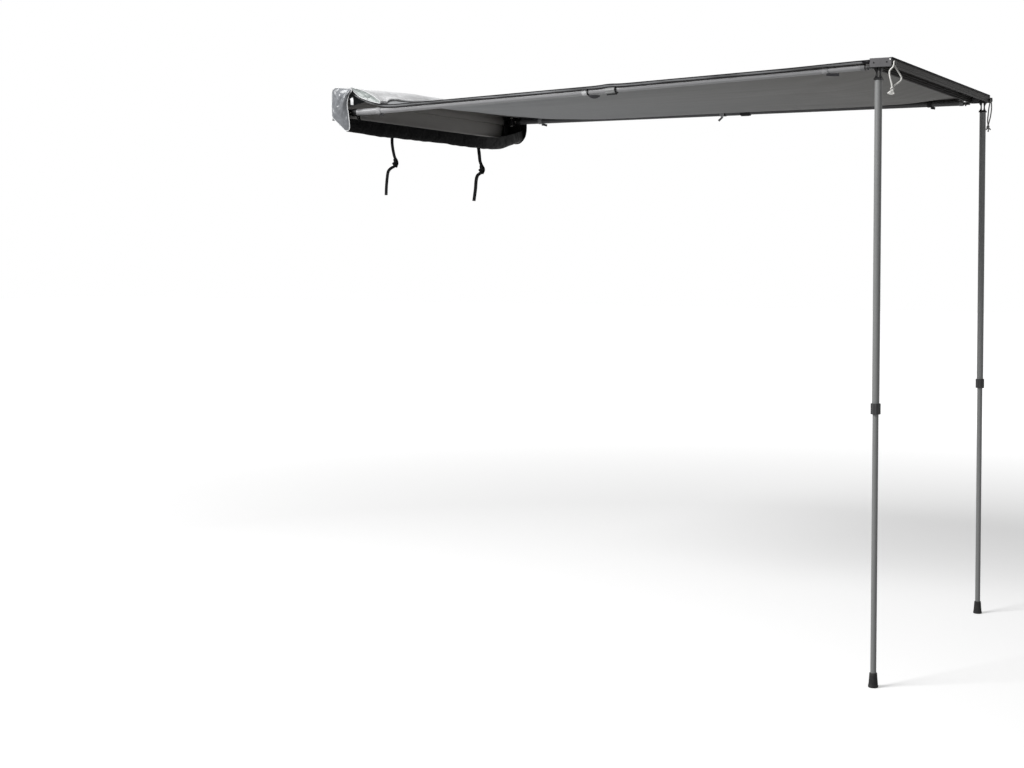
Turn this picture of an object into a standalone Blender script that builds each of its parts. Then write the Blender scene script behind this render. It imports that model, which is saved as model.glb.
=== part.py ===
"""Pull-out side awning for a roof rack, drawn out over two arms and two legs.

Metres, +Z up. The origin is the middle of the back rail's rear face. The vehicle is on +Y,
the awning reaches out along -Y, and X runs along the rails with the front end at -X.
"""

import math

import bmesh
import bpy
from mathutils import Matrix, Vector

MM = 0.001

# Driving dimensions
RAIL_LENGTH = 1400 * MM
REACH = 2230 * MM
STANDING_HEIGHT = 2091 * MM
END_INSET = 30 * MM
SEAT_GAP = 0.3 * MM
SLIDE_GAP = 0.3 * MM
PIN_GAP = 0.3 * MM

# Back rail section
BACK_HEIGHT = 120 * MM
BACK_DEPTH = 72 * MM
BACK_WALL = 2.8 * MM
BACK_LIP = 10 * MM
SLOT_HEIGHT = 30 * MM
SLOT_MOUTH = 9 * MM
SLOT_CAVITY = 17 * MM
SLOT_DEPTH = 11.5 * MM
SLOT_WALL = 2.5 * MM
TRACK_SIZE = 8 * MM
TRACK_BORE = 4.6 * MM

# Leading rail section
LEAD_WIDTH = 74 * MM
LEAD_HEIGHT = 30 * MM
LEAD_WALL = 2.4 * MM
LEAD_GROOVE = 1 * MM
LANE_OFFSET = 16 * MM

# Arms
ARM_TUBE_R = 12.5 * MM
ARM_SLIDE_R = 11 * MM
TUBE_WALL = 1.3 * MM
SWING_PIN_INSET = 45 * MM
KNUCKLE_LENGTH = 28 * MM
ARM_LEVEL = {"front": -33 * MM, "rear": 31.5 * MM}
TIP_LEVEL = {"front": 37 * MM, "rear": 31.5 * MM}
LOCK_FROM_TIP = 930 * MM
INNER_TIE_FROM_LOCK = 107 * MM
OUTER_TIE_FROM_TIP = 135 * MM
ARM_OVERLAP = 100 * MM
SWING_LEAN = 0.021

# Legs
LEG_TUBE_R = 12.3 * MM
LEG_SLIDE_R = 10 * MM
FOLD_PIN_RISE = 10 * MM
HEAD_LENGTH = 49.5 * MM
UPPER_LEG = 1093.5 * MM
LEG_OVERLAP = 100 * MM
FOOT_HEIGHT = 49 * MM
FOOT_R = 17 * MM

# Locks and pins
LOCK_LENGTH = 36 * MM
LOCK_R = 15.6 * MM
LOCK_RIB = 1 * MM
LOCK_RIBS = 10
SWING_PIN_R = 4 * MM
TILT_PIN_R = 3 * MM
FOLD_PIN_R = 3 * MM

# Soft parts
CLOTH = 1.6 * MM
BAG_SHEET = 2.4 * MM
HEM_DROP = 10 * MM
HEM_INSET = 10 * MM
CANOPY_LIFT = 17.7 * MM
CANOPY_SAG = 38 * MM
CANOPY_FLAT_X = 650 * MM
STRAP_WIDTH = 22 * MM
STRAP_THICKNESS = 1.6 * MM
ROPE_R = 3 * MM
EYE_R = 3.6 * MM
EYE_DROP = 19 * MM
EYE_INSET = 10 * MM
EYE_NECK = 5.5 * MM

# Places worked out from the dimensions above
TOP_Z = BACK_HEIGHT / 2
GROUND_Z = TOP_Z - STANDING_HEIGHT
END_X = RAIL_LENGTH / 2
SIDE_X = END_X - END_INSET
LEAD_OUTER_Y = -REACH
LEAD_Y = LEAD_OUTER_Y + LEAD_WIDTH / 2
LEAD_INNER_Y = LEAD_OUTER_Y + LEAD_WIDTH
LEAD_BOTTOM_Z = TOP_Z - LEAD_HEIGHT
FOLD_PIN_Z = LEAD_BOTTOM_Z + FOLD_PIN_RISE
ROUND = 32

# Arm tips and their catches
CATCH_PLATE = 4 * MM
CATCH_REACH = 18 * MM
CATCH_LENGTH = 28 * MM
TONGUE_THICKNESS = 6 * MM
TONGUE_WIDTH = 16 * MM
TONGUE_GAP = 0.8 * MM
PEG_R = 3 * MM
PEG_SLOT = 7.4 * MM
PEG_Y = LEAD_INNER_Y + SEAT_GAP + CATCH_PLATE + 11 * MM
TIP_FACE_Y = LEAD_INNER_Y + SEAT_GAP + CATCH_PLATE + CATCH_REACH + 2 * MM
CAP_LENGTH = 15 * MM

SIDES = {"front": -1, "rear": 1}


def clear_scene():
    for existing in list(bpy.data.objects):
        bpy.data.objects.remove(existing, do_unlink=True)


def make_material(name, colour, roughness, metallic=0.0):
    material = bpy.data.materials.new(name)
    material.use_nodes = True
    shader = material.node_tree.nodes["Principled BSDF"]
    shader.inputs["Base Color"].default_value = (*colour, 1)
    shader.inputs["Roughness"].default_value = roughness
    shader.inputs["Metallic"].default_value = metallic
    return material


def link(name, data, material=None, parent=None):
    item = bpy.data.objects.new(name, data)
    bpy.context.scene.collection.objects.link(item)
    item.parent = parent
    if material:
        data.materials.append(material)
    return item


def empty_at(name, matrix, parent=None):
    marker = link(name, None, parent=parent)
    marker.empty_display_size = 0.03
    marker.matrix_local = matrix
    return marker


def solid(name, mesh_data, material=None, parent=None, sharp_deg=35):
    """Turn a bmesh into a named object with clean normals."""
    bmesh.ops.remove_doubles(mesh_data, verts=mesh_data.verts, dist=0.00001)
    bmesh.ops.recalc_face_normals(mesh_data, faces=mesh_data.faces)
    mesh = bpy.data.meshes.new(name)
    mesh_data.to_mesh(mesh)
    mesh_data.free()
    mesh.shade_smooth()
    mesh.set_sharp_from_angle(angle=math.radians(sharp_deg))
    return link(name, mesh, material, parent)


def prism(outline, low, high, plane="YZ"):
    """Extrude an outline from low to high along the axis that its plane leaves out."""
    along = {"YZ": 0, "XZ": 1, "XY": 2}[plane]

    def corner(point, place):
        values = list(point)
        values.insert(along, place)
        return Vector(values)

    shape = bmesh.new()
    face = shape.faces.new([shape.verts.new(corner(point, low)) for point in outline])
    pushed = bmesh.ops.extrude_face_region(shape, geom=[face])
    moved = [item for item in pushed["geom"] if isinstance(item, bmesh.types.BMVert)]
    step = Vector((0, 0, 0))
    step[along] = high - low
    bmesh.ops.translate(shape, verts=moved, vec=step)
    return shape


def turned(profile, segments=ROUND, closed=True):
    """Spin an (r, z) profile about Z. A closed profile gives a ring, an open one meets the axis."""
    shape = bmesh.new()
    verts = [shape.verts.new((r, 0, z)) for r, z in profile]
    pairs = list(zip(verts, verts[1:]))
    if closed:
        pairs.append((verts[-1], verts[0]))
    edges = [shape.edges.new(pair) for pair in pairs]
    bmesh.ops.spin(shape, geom=verts + edges, cent=(0, 0, 0), axis=(0, 0, 1),
                   angle=2 * math.pi, steps=segments, use_merge=True)
    return shape


def tube_profile(inner, outer, low, high):
    return [(inner, low), (outer, low), (outer, high), (inner, high)]


def rod_profile(*steps):
    """Profile of stepped round bar: each step is (radius, low end, high end)."""
    points = [(0, steps[0][1])]
    for radius, low, high in steps:
        points += [(radius, low), (radius, high)]
    return points + [(0, steps[-1][2])]


def box(low, high):
    shape = bmesh.new()
    bmesh.ops.create_cube(shape, size=1)
    size = Vector(high) - Vector(low)
    bmesh.ops.scale(shape, vec=size, verts=shape.verts)
    bmesh.ops.translate(shape, vec=(Vector(low) + Vector(high)) / 2, verts=shape.verts)
    return shape


def boolean(target, tool, operation):
    tool.hide_render = True
    tool.display_type = "WIRE"
    change = target.modifiers.new(tool.name, "BOOLEAN")
    change.operation = operation
    change.object = tool
    return target


def bevel(target, width, segments=2, angle=40):
    rounding = target.modifiers.new("edges", "BEVEL")
    rounding.width = width
    rounding.segments = segments
    rounding.limit_method = "ANGLE"
    rounding.angle_limit = math.radians(angle)
    return target


def thicken(target, thickness, offset=-1):
    wall = target.modifiers.new("sheet", "SOLIDIFY")
    wall.thickness = thickness
    wall.offset = offset
    wall.use_even_offset = True
    return target


def arc(centre, radius, start_deg, end_deg, count):
    """Points along an arc, both ends included."""
    turn = [start_deg + (end_deg - start_deg) * i / count for i in range(count + 1)]
    return [(centre[0] + radius * math.cos(math.radians(a)),
             centre[1] + radius * math.sin(math.radians(a))) for a in turn]


def frame_along(origin, direction, side=Vector((1, 0, 0))):
    """Local Z along direction, local X as near to side as it can be."""
    z_axis = direction.normalized()
    y_axis = z_axis.cross(side).normalized()
    x_axis = y_axis.cross(z_axis)
    turn = Matrix((x_axis, y_axis, z_axis)).transposed().to_4x4()
    return Matrix.Translation(origin) @ turn


def keder_track(corner_y, top_z, out):
    """Open track for a bead at a flange's free edge, from the top down; out is -1 towards -Y."""
    mouth = 0.9 * MM
    centre = (corner_y - out * TRACK_SIZE / 2, top_z - TRACK_SIZE / 2)
    bite = math.degrees(math.asin(mouth / (TRACK_BORE / 2)))
    turn = (180 - bite, bite - 180) if out < 0 else (bite, 360 - bite)
    bore = arc(centre, TRACK_BORE / 2, *turn, 12)
    return [(corner_y, centre[1] + mouth), *bore, (corner_y, centre[1] - mouth)]


def back_rail_outline():
    """C section open to -Y, with a bead track at the top and a bolt slot in its rear face."""
    inside = -BACK_WALL
    slot_low = SLOT_HEIGHT - SLOT_CAVITY / 2
    slot_high = SLOT_HEIGHT + SLOT_CAVITY / 2
    mouth_low = SLOT_HEIGHT - SLOT_MOUTH / 2
    mouth_high = SLOT_HEIGHT + SLOT_MOUTH / 2
    front = -BACK_DEPTH
    boss = -SLOT_DEPTH - SLOT_WALL
    return [
        (0, -TOP_Z), (0, mouth_low), (-SLOT_WALL, mouth_low), (-SLOT_WALL, slot_low),
        (-SLOT_DEPTH, slot_low), (-SLOT_DEPTH, slot_high), (-SLOT_WALL, slot_high),
        (-SLOT_WALL, mouth_high), (0, mouth_high), (0, TOP_Z), (front, TOP_Z),
        *keder_track(front, TOP_Z, -1),
        (front, TOP_Z - TRACK_SIZE), (front + TRACK_SIZE, TOP_Z - TRACK_SIZE),
        (front + TRACK_SIZE, TOP_Z - BACK_WALL), (inside, TOP_Z - BACK_WALL),
        (inside, slot_high + SLOT_WALL), (boss, slot_high + SLOT_WALL),
        (boss, slot_low - SLOT_WALL), (inside, slot_low - SLOT_WALL),
        (inside, BACK_WALL - TOP_Z), (front + BACK_WALL, BACK_WALL - TOP_Z),
        (front + BACK_WALL, BACK_LIP - TOP_Z), (front, BACK_LIP - TOP_Z), (front, -TOP_Z),
    ]


def lead_rail_outline():
    """C section open below, with grooves along its outer wall and a bead track at its inner edge."""
    outer = LEAD_OUTER_Y
    inner = LEAD_INNER_Y
    low = LEAD_BOTTOM_Z
    groove = 2.5 * MM
    corner = 1.5 * MM
    outer_wall = outer + LEAD_WALL + LEAD_GROOVE
    grooves = []
    for rise in (4.5 * MM, 10 * MM, 15.5 * MM, 21 * MM):
        grooves += [(outer, low + rise), (outer + LEAD_GROOVE, low + rise + LEAD_GROOVE),
                    (outer + LEAD_GROOVE, low + rise + groove),
                    (outer, low + rise + groove + LEAD_GROOVE)]
    return [
        (outer, low), *grooves, (outer, TOP_Z - corner), (outer + corner, TOP_Z), (inner, TOP_Z),
        *keder_track(inner, TOP_Z, 1), (inner, low), (inner - LEAD_WALL, low),
        (inner - LEAD_WALL, TOP_Z - TRACK_SIZE), (inner - TRACK_SIZE, TOP_Z - TRACK_SIZE),
        (inner - TRACK_SIZE, TOP_Z - LEAD_WALL), (outer_wall, TOP_Z - LEAD_WALL), (outer_wall, low),
    ]


def add_rails(finish):
    rail = solid("back_rail", prism(back_rail_outline(), -END_X, END_X), finish["aluminium"])
    lead = solid("leading_rail", prism(lead_rail_outline(), -END_X, END_X), finish["aluminium"])
    return rail, lead


def add_rail_ends(end, side, finish):
    """Flat caps on the back rail's ends and clamped plates on the leading rail's ends."""
    near = END_X + SEAT_GAP
    cap_thickness = 3 * MM
    cap_outline = [(-SEAT_GAP, -TOP_Z), (-SEAT_GAP, TOP_Z), (-BACK_DEPTH, TOP_Z), (-BACK_DEPTH, -TOP_Z)]
    cap = solid(f"{end}_rail_cap", prism(cap_outline, *sorted((side * near, side * (near + cap_thickness)))),
                finish["black_plastic"])
    bevel(cap, 1 * MM, 1)

    plate_thickness = 4 * MM
    plate_corner = 5 * MM
    corner_z = LEAD_BOTTOM_Z + plate_corner
    plate_outline = [(LEAD_INNER_Y, TOP_Z), (LEAD_OUTER_Y, TOP_Z),
                     *arc((LEAD_OUTER_Y + plate_corner, corner_z), plate_corner, 180, 270, 4),
                     *arc((LEAD_INNER_Y - plate_corner, corner_z), plate_corner, 270, 360, 4)]
    plate = solid(f"{end}_end_plate",
                  prism(plate_outline, *sorted((side * near, side * (near + plate_thickness)))),
                  finish["grey_plastic"])
    bevel(plate, 1.2 * MM, 2)

    eye_low = LEAD_OUTER_Y - SEAT_GAP
    eye_x = side * (END_X - EYE_INSET)
    eye_place = frame_along(Vector((eye_x, eye_low, TOP_Z - EYE_DROP)), Vector((0, -1, 0)))
    profile = rod_profile((6 * MM, 0, 2 * MM), (EYE_R, 2 * MM, 9 * MM), (8.5 * MM, 9 * MM, 11 * MM))
    eye = solid(f"{end}_rope_eye", turned(profile, 24, closed=False), finish["black_plastic"])
    eye.matrix_local = eye_place


def bracket_outline(level):
    """Folded bracket in the YZ plane: foot on the rail's floor, back plate and two cheeks."""
    plate = 4 * MM
    cheek_gap = 12 * MM
    floor = BACK_WALL - TOP_Z + SEAT_GAP
    back = -SLOT_DEPTH - SLOT_WALL - SEAT_GAP
    nose = -SWING_PIN_INSET - 14 * MM
    upper = level + cheek_gap
    lower = level - cheek_gap
    return [
        (back, floor), (back, upper + plate), (nose, upper + plate), (nose, upper),
        (back - plate, upper), (back - plate, lower), (nose, lower), (nose, lower - plate),
        (back - plate, lower - plate), (back - plate, floor + plate), (nose, floor + plate), (nose, floor),
    ]


def pin_direction(side, rise):
    """The pin leans so that the front arm sinks, and the rear one lifts, on its way in."""
    lean = -side * SWING_LEAN
    return Vector((-side * lean, rise - lean, 1)).normalized()


def add_arm_mounting(end, side, finish):
    """Bracket and pin in the case, and the knuckle that turns on the pin."""
    level = ARM_LEVEL[end]
    half = 22 * MM
    pivot = Vector((side * SIDE_X, -SWING_PIN_INSET, level))
    rise = (TIP_LEVEL[end] - level) / (-PEG_Y - SWING_PIN_INSET)
    direction = pin_direction(side, rise)
    swing = empty_at(f"{end}_arm_swing_axis", frame_along(pivot, direction))

    bracket = solid(f"{end}_arm_bracket",
                    prism(bracket_outline(level), side * SIDE_X - half, side * SIDE_X + half),
                    finish["black_steel"])
    bevel(bracket, 0.8 * MM, 1)
    hole = solid(f"{end}_arm_bracket_hole", turned(rod_profile(
        (SWING_PIN_R + PIN_GAP, -30 * MM, 30 * MM)), 24, closed=False), parent=swing)
    boolean(bracket, hole, "DIFFERENCE")

    pin = solid(f"{end}_swing_pin", turned(rod_profile(
        (6.5 * MM, -19.3 * MM, -17 * MM), (SWING_PIN_R, -17 * MM, 17 * MM),
        (7.5 * MM, 17 * MM, 21 * MM)), 24, closed=False), finish["zinc"])
    pin.parent = swing

    eye_half = 11.3 * MM
    tongue_half = 5 * MM
    knuckle = solid(f"{end}_knuckle", turned(rod_profile((12 * MM, -eye_half, eye_half)), 32, closed=False),
                    finish["black_plastic"], parent=swing)
    blade_outline = [(0, -10 * MM), *arc((KNUCKLE_LENGTH, 0), 10 * MM, -90, 90, 10), (0, 10 * MM)]
    blade_points = [(-y, z) for y, z in blade_outline]
    blade = solid(f"{end}_knuckle_blade", prism(blade_points, -tongue_half, tongue_half), parent=swing)
    boolean(knuckle, blade, "UNION")
    bore = solid(f"{end}_knuckle_bore", turned(rod_profile(
        (SWING_PIN_R + PIN_GAP, -30 * MM, 30 * MM)), 24, closed=False), parent=swing)
    boolean(knuckle, bore, "DIFFERENCE")
    cross_place = frame_along(Vector((0, -KNUCKLE_LENGTH, 0)), Vector((1, 0, 0)), Vector((0, 0, 1)))
    cross = solid(f"{end}_knuckle_cross_bore", turned(rod_profile(
        (TILT_PIN_R + PIN_GAP, -20 * MM, 20 * MM)), 24, closed=False), parent=swing)
    cross.matrix_local = cross_place
    boolean(knuckle, cross, "DIFFERENCE")

    tilt_pin = solid(f"{end}_tilt_pin", turned(rod_profile(
        (4.6 * MM, -12.8 * MM, -10.8 * MM), (TILT_PIN_R, -10.8 * MM, 10.8 * MM),
        (4.6 * MM, 10.8 * MM, 12.8 * MM)), 24, closed=False), finish["zinc"], parent=swing)
    tilt_pin.matrix_local = cross_place
    bpy.context.view_layer.update()
    return swing.matrix_world @ Vector((0, -KNUCKLE_LENGTH, 0))


def ribbed_outline(radius, rib, count):
    """Round grip with shallow ribs, as an XY outline."""
    points = []
    for i in range(count):
        for share, height in ((0, 0), (0.2, rib), (0.5, rib), (0.7, 0)):
            a = 2 * math.pi * (i + share) / count
            points.append(((radius + height) * math.cos(a), (radius + height) * math.sin(a)))
    return points


def twist_lock(name, large_r, small_r, finish, parent, centre_z):
    """Grip ring that sits over the end of the larger tube and round the smaller one."""
    half = LOCK_LENGTH / 2
    grip = solid(name, prism(ribbed_outline(LOCK_R, LOCK_RIB, LOCK_RIBS),
                             centre_z - half, centre_z + half, "XY"), finish["black_plastic"], parent)
    step = centre_z + 4 * MM
    reach = 5 * MM
    large = large_r + SLIDE_GAP
    small = small_r + SLIDE_GAP
    bore = solid(f"{name}_bore", turned(rod_profile(
        (large, centre_z - half - reach, step), (small, step, centre_z + half + reach)),
        closed=False), parent=parent)
    boolean(grip, bore, "DIFFERENCE")
    return grip


def tie(name, radius, centre_z, side, finish, parent):
    """Webbing tie closed round an arm, its tail pointing away from the awning's middle."""
    inner = radius + 0.4 * MM
    outer = radius + 2.2 * MM
    half = 10 * MM
    tail = 7 * MM
    tail_thickness = 1.2 * MM
    start, end = -40, 312
    along = Vector((math.cos(math.radians(end)), math.sin(math.radians(end))))
    across = Vector((-along.y, along.x)) * tail_thickness
    far = along * (outer + tail)
    outline = [*arc((0, 0), outer, start, end, 28), far, far + across, along * outer + across,
               *arc((0, 0), inner, end, start, 28)]
    return solid(name, prism([(side * x, y) for x, y in outline], centre_z - half, centre_z + half, "XY"),
                 finish["webbing"], parent)


def add_arm(end, side, root_point, finish):
    """Telescopic arm, built along local Z from its tilt pin to its catch peg."""
    target = Vector((side * SIDE_X, PEG_Y, TIP_LEVEL[end]))
    along = target - root_point
    arm = empty_at(f"{end}_arm_axis", frame_along(root_point, along))
    peg_z = along.length
    tip_z = peg_z - (TIP_FACE_Y - PEG_Y)
    lock_z = tip_z - LOCK_FROM_TIP
    bore_r = ARM_TUBE_R - TUBE_WALL
    slide_bore_r = ARM_SLIDE_R - TUBE_WALL
    tube_start = 20 * MM

    plug = solid(f"{end}_arm_plug", turned(rod_profile(
        (ARM_TUBE_R, 14 * MM, tube_start - SEAT_GAP),
        (bore_r - SEAT_GAP, tube_start - SEAT_GAP, tube_start + 30 * MM)), closed=False),
        finish["black_plastic"], arm)
    prong_in = 5.4 * MM
    prong_out = 10.4 * MM
    fork_outline = [(16 * MM, -10 * MM), *reversed(arc((0, 0), 10 * MM, 90, 270, 10)), (16 * MM, 10 * MM)]
    fork_points = [(y, z) for z, y in fork_outline]
    fork = solid(f"{end}_arm_fork", prism(fork_points, -prong_out, prong_out), parent=arm)
    boolean(plug, fork, "UNION")
    gap = solid(f"{end}_arm_fork_gap", box((-prong_in, -20 * MM, -15 * MM), (prong_in, 20 * MM, 12.5 * MM)),
                parent=arm)
    boolean(plug, gap, "DIFFERENCE")
    hole = solid(f"{end}_arm_fork_hole", turned(rod_profile(
        (TILT_PIN_R + PIN_GAP, -20 * MM, 20 * MM)), 24, closed=False), parent=arm)
    hole.matrix_local = frame_along(Vector((0, 0, 0)), Vector((1, 0, 0)), Vector((0, 0, 1)))
    boolean(plug, hole, "DIFFERENCE")

    solid(f"{end}_arm_tube", turned(tube_profile(bore_r, ARM_TUBE_R, tube_start, lock_z)),
          finish["aluminium"], arm)
    twist_lock(f"{end}_arm_lock", ARM_TUBE_R, ARM_SLIDE_R, finish, arm, lock_z - 4 * MM + SEAT_GAP)
    slide_start = lock_z - ARM_OVERLAP
    cap_start = tip_z - CAP_LENGTH
    solid(f"{end}_arm_slide_tube", turned(tube_profile(slide_bore_r, ARM_SLIDE_R, slide_start, cap_start)),
          finish["aluminium"], arm)
    solid(f"{end}_arm_bush", turned(rod_profile(
        (ARM_SLIDE_R, slide_start - 10 * MM, slide_start - SEAT_GAP),
        (slide_bore_r - SEAT_GAP, slide_start - SEAT_GAP, slide_start + 15 * MM)), closed=False),
        finish["white_plastic"], arm)

    cap = solid(f"{end}_arm_tip", turned(rod_profile(
        (slide_bore_r - SEAT_GAP, cap_start - 25 * MM, cap_start + SEAT_GAP),
        (ARM_TUBE_R, cap_start + SEAT_GAP, tip_z)), closed=False), finish["black_plastic"], arm)
    tongue = solid(f"{end}_arm_tip_tongue", box(
        (-TONGUE_WIDTH / 2, -TONGUE_THICKNESS / 2, tip_z - 5 * MM),
        (TONGUE_WIDTH / 2, TONGUE_THICKNESS / 2, peg_z + 8 * MM)), parent=arm)
    boolean(cap, tongue, "UNION")
    peg = solid(f"{end}_arm_tip_peg", turned(rod_profile((PEG_R, 0, 13 * MM)), 24, closed=False), parent=arm)
    peg.matrix_local = frame_along(Vector((0, 0, peg_z)), Vector((0, -1, 0)))
    boolean(cap, peg, "UNION")

    tie(f"{end}_inner_tie", ARM_TUBE_R, lock_z - INNER_TIE_FROM_LOCK, side, finish, arm)
    tie(f"{end}_outer_tie", ARM_SLIDE_R, tip_z - OUTER_TIE_FROM_TIP, side, finish, arm)


def add_catch(end, side, finish):
    """Angle on the leading rail's inner wall, slotted for the arm's peg from the middle side."""
    plate_near = LEAD_INNER_Y + SEAT_GAP
    plate_far = plate_near + CATCH_PLATE
    shelf_top = TIP_LEVEL[end] - TONGUE_THICKNESS / 2 - TONGUE_GAP
    shelf_low = shelf_top - CATCH_PLATE
    plate_top = TOP_Z - TRACK_SIZE - 0.5 * MM
    outline = [(plate_near, shelf_low), (plate_far + CATCH_REACH, shelf_low),
               (plate_far + CATCH_REACH, shelf_top), (plate_far, shelf_top),
               (plate_far, plate_top), (plate_near, plate_top)]
    half = CATCH_LENGTH / 2
    catch = solid(f"{end}_arm_catch", prism(outline, side * SIDE_X - half, side * SIDE_X + half),
                  finish["grey_steel"])
    bevel(catch, 0.6 * MM, 1)
    inward = -side
    slot_half = PEG_SLOT / 2
    ends = sorted((side * SIDE_X, side * SIDE_X + inward * (half + 5 * MM)))
    straight = box((ends[0], PEG_Y - slot_half, shelf_low - 5 * MM),
                   (ends[1], PEG_Y + slot_half, shelf_top + 5 * MM))
    slot = solid(f"{end}_arm_catch_slot", straight)
    boolean(catch, slot, "DIFFERENCE")
    seat = solid(f"{end}_arm_catch_seat", turned(rod_profile(
        (slot_half, shelf_low - 5 * MM, shelf_top + 5 * MM)), 24, closed=False))
    seat.location = (side * SIDE_X, PEG_Y, 0)
    boolean(catch, seat, "DIFFERENCE")


def add_leg_hinge(end, side, lane_y, finish):
    """Hanger fixed in the channel, with the tongue and pin that a leg folds on."""
    fold = empty_at(f"{end}_leg_fold_axis", Matrix.Translation((side * SIDE_X, lane_y, FOLD_PIN_Z)))
    top = TOP_Z - LEAD_WALL - SEAT_GAP - FOLD_PIN_Z
    base_low = top - 4 * MM
    tongue_half = 4 * MM
    outline = [(-24 * MM, base_low), (-13 * MM, base_low), *arc((0, 0), 12 * MM, 180, 360, 12),
               (13 * MM, base_low), (24 * MM, base_low), (24 * MM, top), (-24 * MM, top)]
    hanger = solid(f"{end}_leg_hanger", prism(outline, -tongue_half, tongue_half, "XZ"),
                   finish["black_plastic"], fold)
    base = solid(f"{end}_leg_hanger_base", box((-24 * MM, -12 * MM, base_low), (24 * MM, 12 * MM, top)),
                 parent=fold)
    boolean(hanger, base, "UNION")
    across = frame_along(Vector((0, 0, 0)), Vector((0, 1, 0)))
    hole = solid(f"{end}_leg_hanger_hole", turned(rod_profile(
        (FOLD_PIN_R + PIN_GAP, -20 * MM, 20 * MM)), 24, closed=False), parent=fold)
    hole.matrix_local = across
    boolean(hanger, hole, "DIFFERENCE")
    pin = solid(f"{end}_fold_pin", turned(rod_profile(
        (5 * MM, -13.3 * MM, -11.6 * MM), (FOLD_PIN_R, -11.6 * MM, 11.6 * MM),
        (5 * MM, 11.6 * MM, 13.3 * MM)), 24, closed=False), finish["zinc"], fold)
    pin.matrix_local = across
    return fold


def head_side_outline():
    """Seen along the pin, as (x, z): eye, skirt, narrow waist, then the tube's shoulder."""
    eye_r = 12.5 * MM
    left = [(-13 * MM, -HEAD_LENGTH), (-13 * MM, -HEAD_LENGTH + 5 * MM), (-9.5 * MM, -40 * MM),
            (-5.6 * MM, -34 * MM), (-4.8 * MM, -28 * MM), (-5.6 * MM, -22 * MM), (-9 * MM, -17 * MM),
            (-11.5 * MM, -13 * MM), (-12.3 * MM, -3 * MM)]
    top = list(reversed(arc((0, 0), eye_r, 0, 180, 14)))
    right = [(-x, z) for x, z in reversed(left)]
    return left + top + right


def head_front_outline():
    """The same piece seen along the rail, as (y, z)."""
    left = [(-13 * MM, -HEAD_LENGTH), (-13 * MM, -HEAD_LENGTH + 5 * MM), (-10 * MM, -41 * MM),
            (-8.2 * MM, -36 * MM), (-7.8 * MM, -28 * MM), (-8.6 * MM, -22 * MM), (-11 * MM, -17 * MM),
            (-13.5 * MM, -12 * MM), (-13.5 * MM, -6.5 * MM), (-11.3 * MM, -5.5 * MM), (-11.3 * MM, 14 * MM)]
    return left + [(-y, z) for y, z in reversed(left)]


def add_leg(end, fold, finish):
    """Telescopic leg, hanging down local Z from its fold pin."""
    bore_r = LEG_TUBE_R - TUBE_WALL
    slide_bore_r = LEG_SLIDE_R - TUBE_WALL
    head = solid(f"{end}_leg_head", prism(head_side_outline(), -14 * MM, 14 * MM, "XZ"),
                 finish["black_plastic"], fold)
    front_form = solid(f"{end}_leg_head_form", prism(head_front_outline(), -16 * MM, 16 * MM), parent=fold)
    boolean(head, front_form, "INTERSECT")
    gap = solid(f"{end}_leg_head_gap", box((-20 * MM, -4.4 * MM, -41 * MM), (20 * MM, 4.4 * MM, 20 * MM)),
                parent=fold)
    boolean(head, gap, "DIFFERENCE")
    spigot = solid(f"{end}_leg_head_spigot", turned(rod_profile(
        (bore_r - SEAT_GAP, -HEAD_LENGTH - 35 * MM, -HEAD_LENGTH + 3 * MM)), closed=False), parent=fold)
    boolean(head, spigot, "UNION")
    hole = solid(f"{end}_leg_head_hole", turned(rod_profile(
        (FOLD_PIN_R + PIN_GAP, -20 * MM, 20 * MM)), 24, closed=False), parent=fold)
    hole.matrix_local = frame_along(Vector((0, 0, 0)), Vector((0, 1, 0)))
    boolean(head, hole, "DIFFERENCE")

    tube_top = -HEAD_LENGTH - SEAT_GAP
    lock_z = tube_top - UPPER_LEG
    solid(f"{end}_leg_tube", turned(tube_profile(bore_r, LEG_TUBE_R, lock_z, tube_top)),
          finish["aluminium"], fold)
    down = empty_at(f"{end}_leg_lock_axis", frame_along(Vector((0, 0, lock_z)), Vector((0, 0, -1))), fold)
    twist_lock(f"{end}_leg_lock", LEG_TUBE_R, LEG_SLIDE_R, finish, down, SEAT_GAP - 4 * MM)

    sole = GROUND_Z - FOLD_PIN_Z
    foot_top = sole + FOOT_HEIGHT
    seat = sole + 9 * MM
    slide_top = lock_z + LEG_OVERLAP
    solid(f"{end}_leg_slide_tube", turned(tube_profile(slide_bore_r, LEG_SLIDE_R, seat + SEAT_GAP, slide_top)),
          finish["aluminium"], fold)
    solid(f"{end}_leg_bush", turned(rod_profile(
        (slide_bore_r - SEAT_GAP, slide_top - 15 * MM, slide_top + SEAT_GAP),
        (bore_r - SLIDE_GAP, slide_top + SEAT_GAP, slide_top + 10 * MM)), closed=False),
        finish["white_plastic"], fold)
    boot_bore = LEG_SLIDE_R + SEAT_GAP
    solid(f"{end}_foot", turned([
        (0, sole), (FOOT_R - 1.5 * MM, sole), (FOOT_R, sole + 1.5 * MM), (FOOT_R, sole + 7 * MM),
        (FOOT_R - 1 * MM, sole + 8.5 * MM), (FOOT_R - 1.6 * MM, sole + 13 * MM),
        (boot_bore + 2.6 * MM, foot_top - 2 * MM), (boot_bore + 1.6 * MM, foot_top),
        (boot_bore, foot_top), (boot_bore, seat), (0, seat)], closed=False), finish["rubber"], fold)


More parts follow.
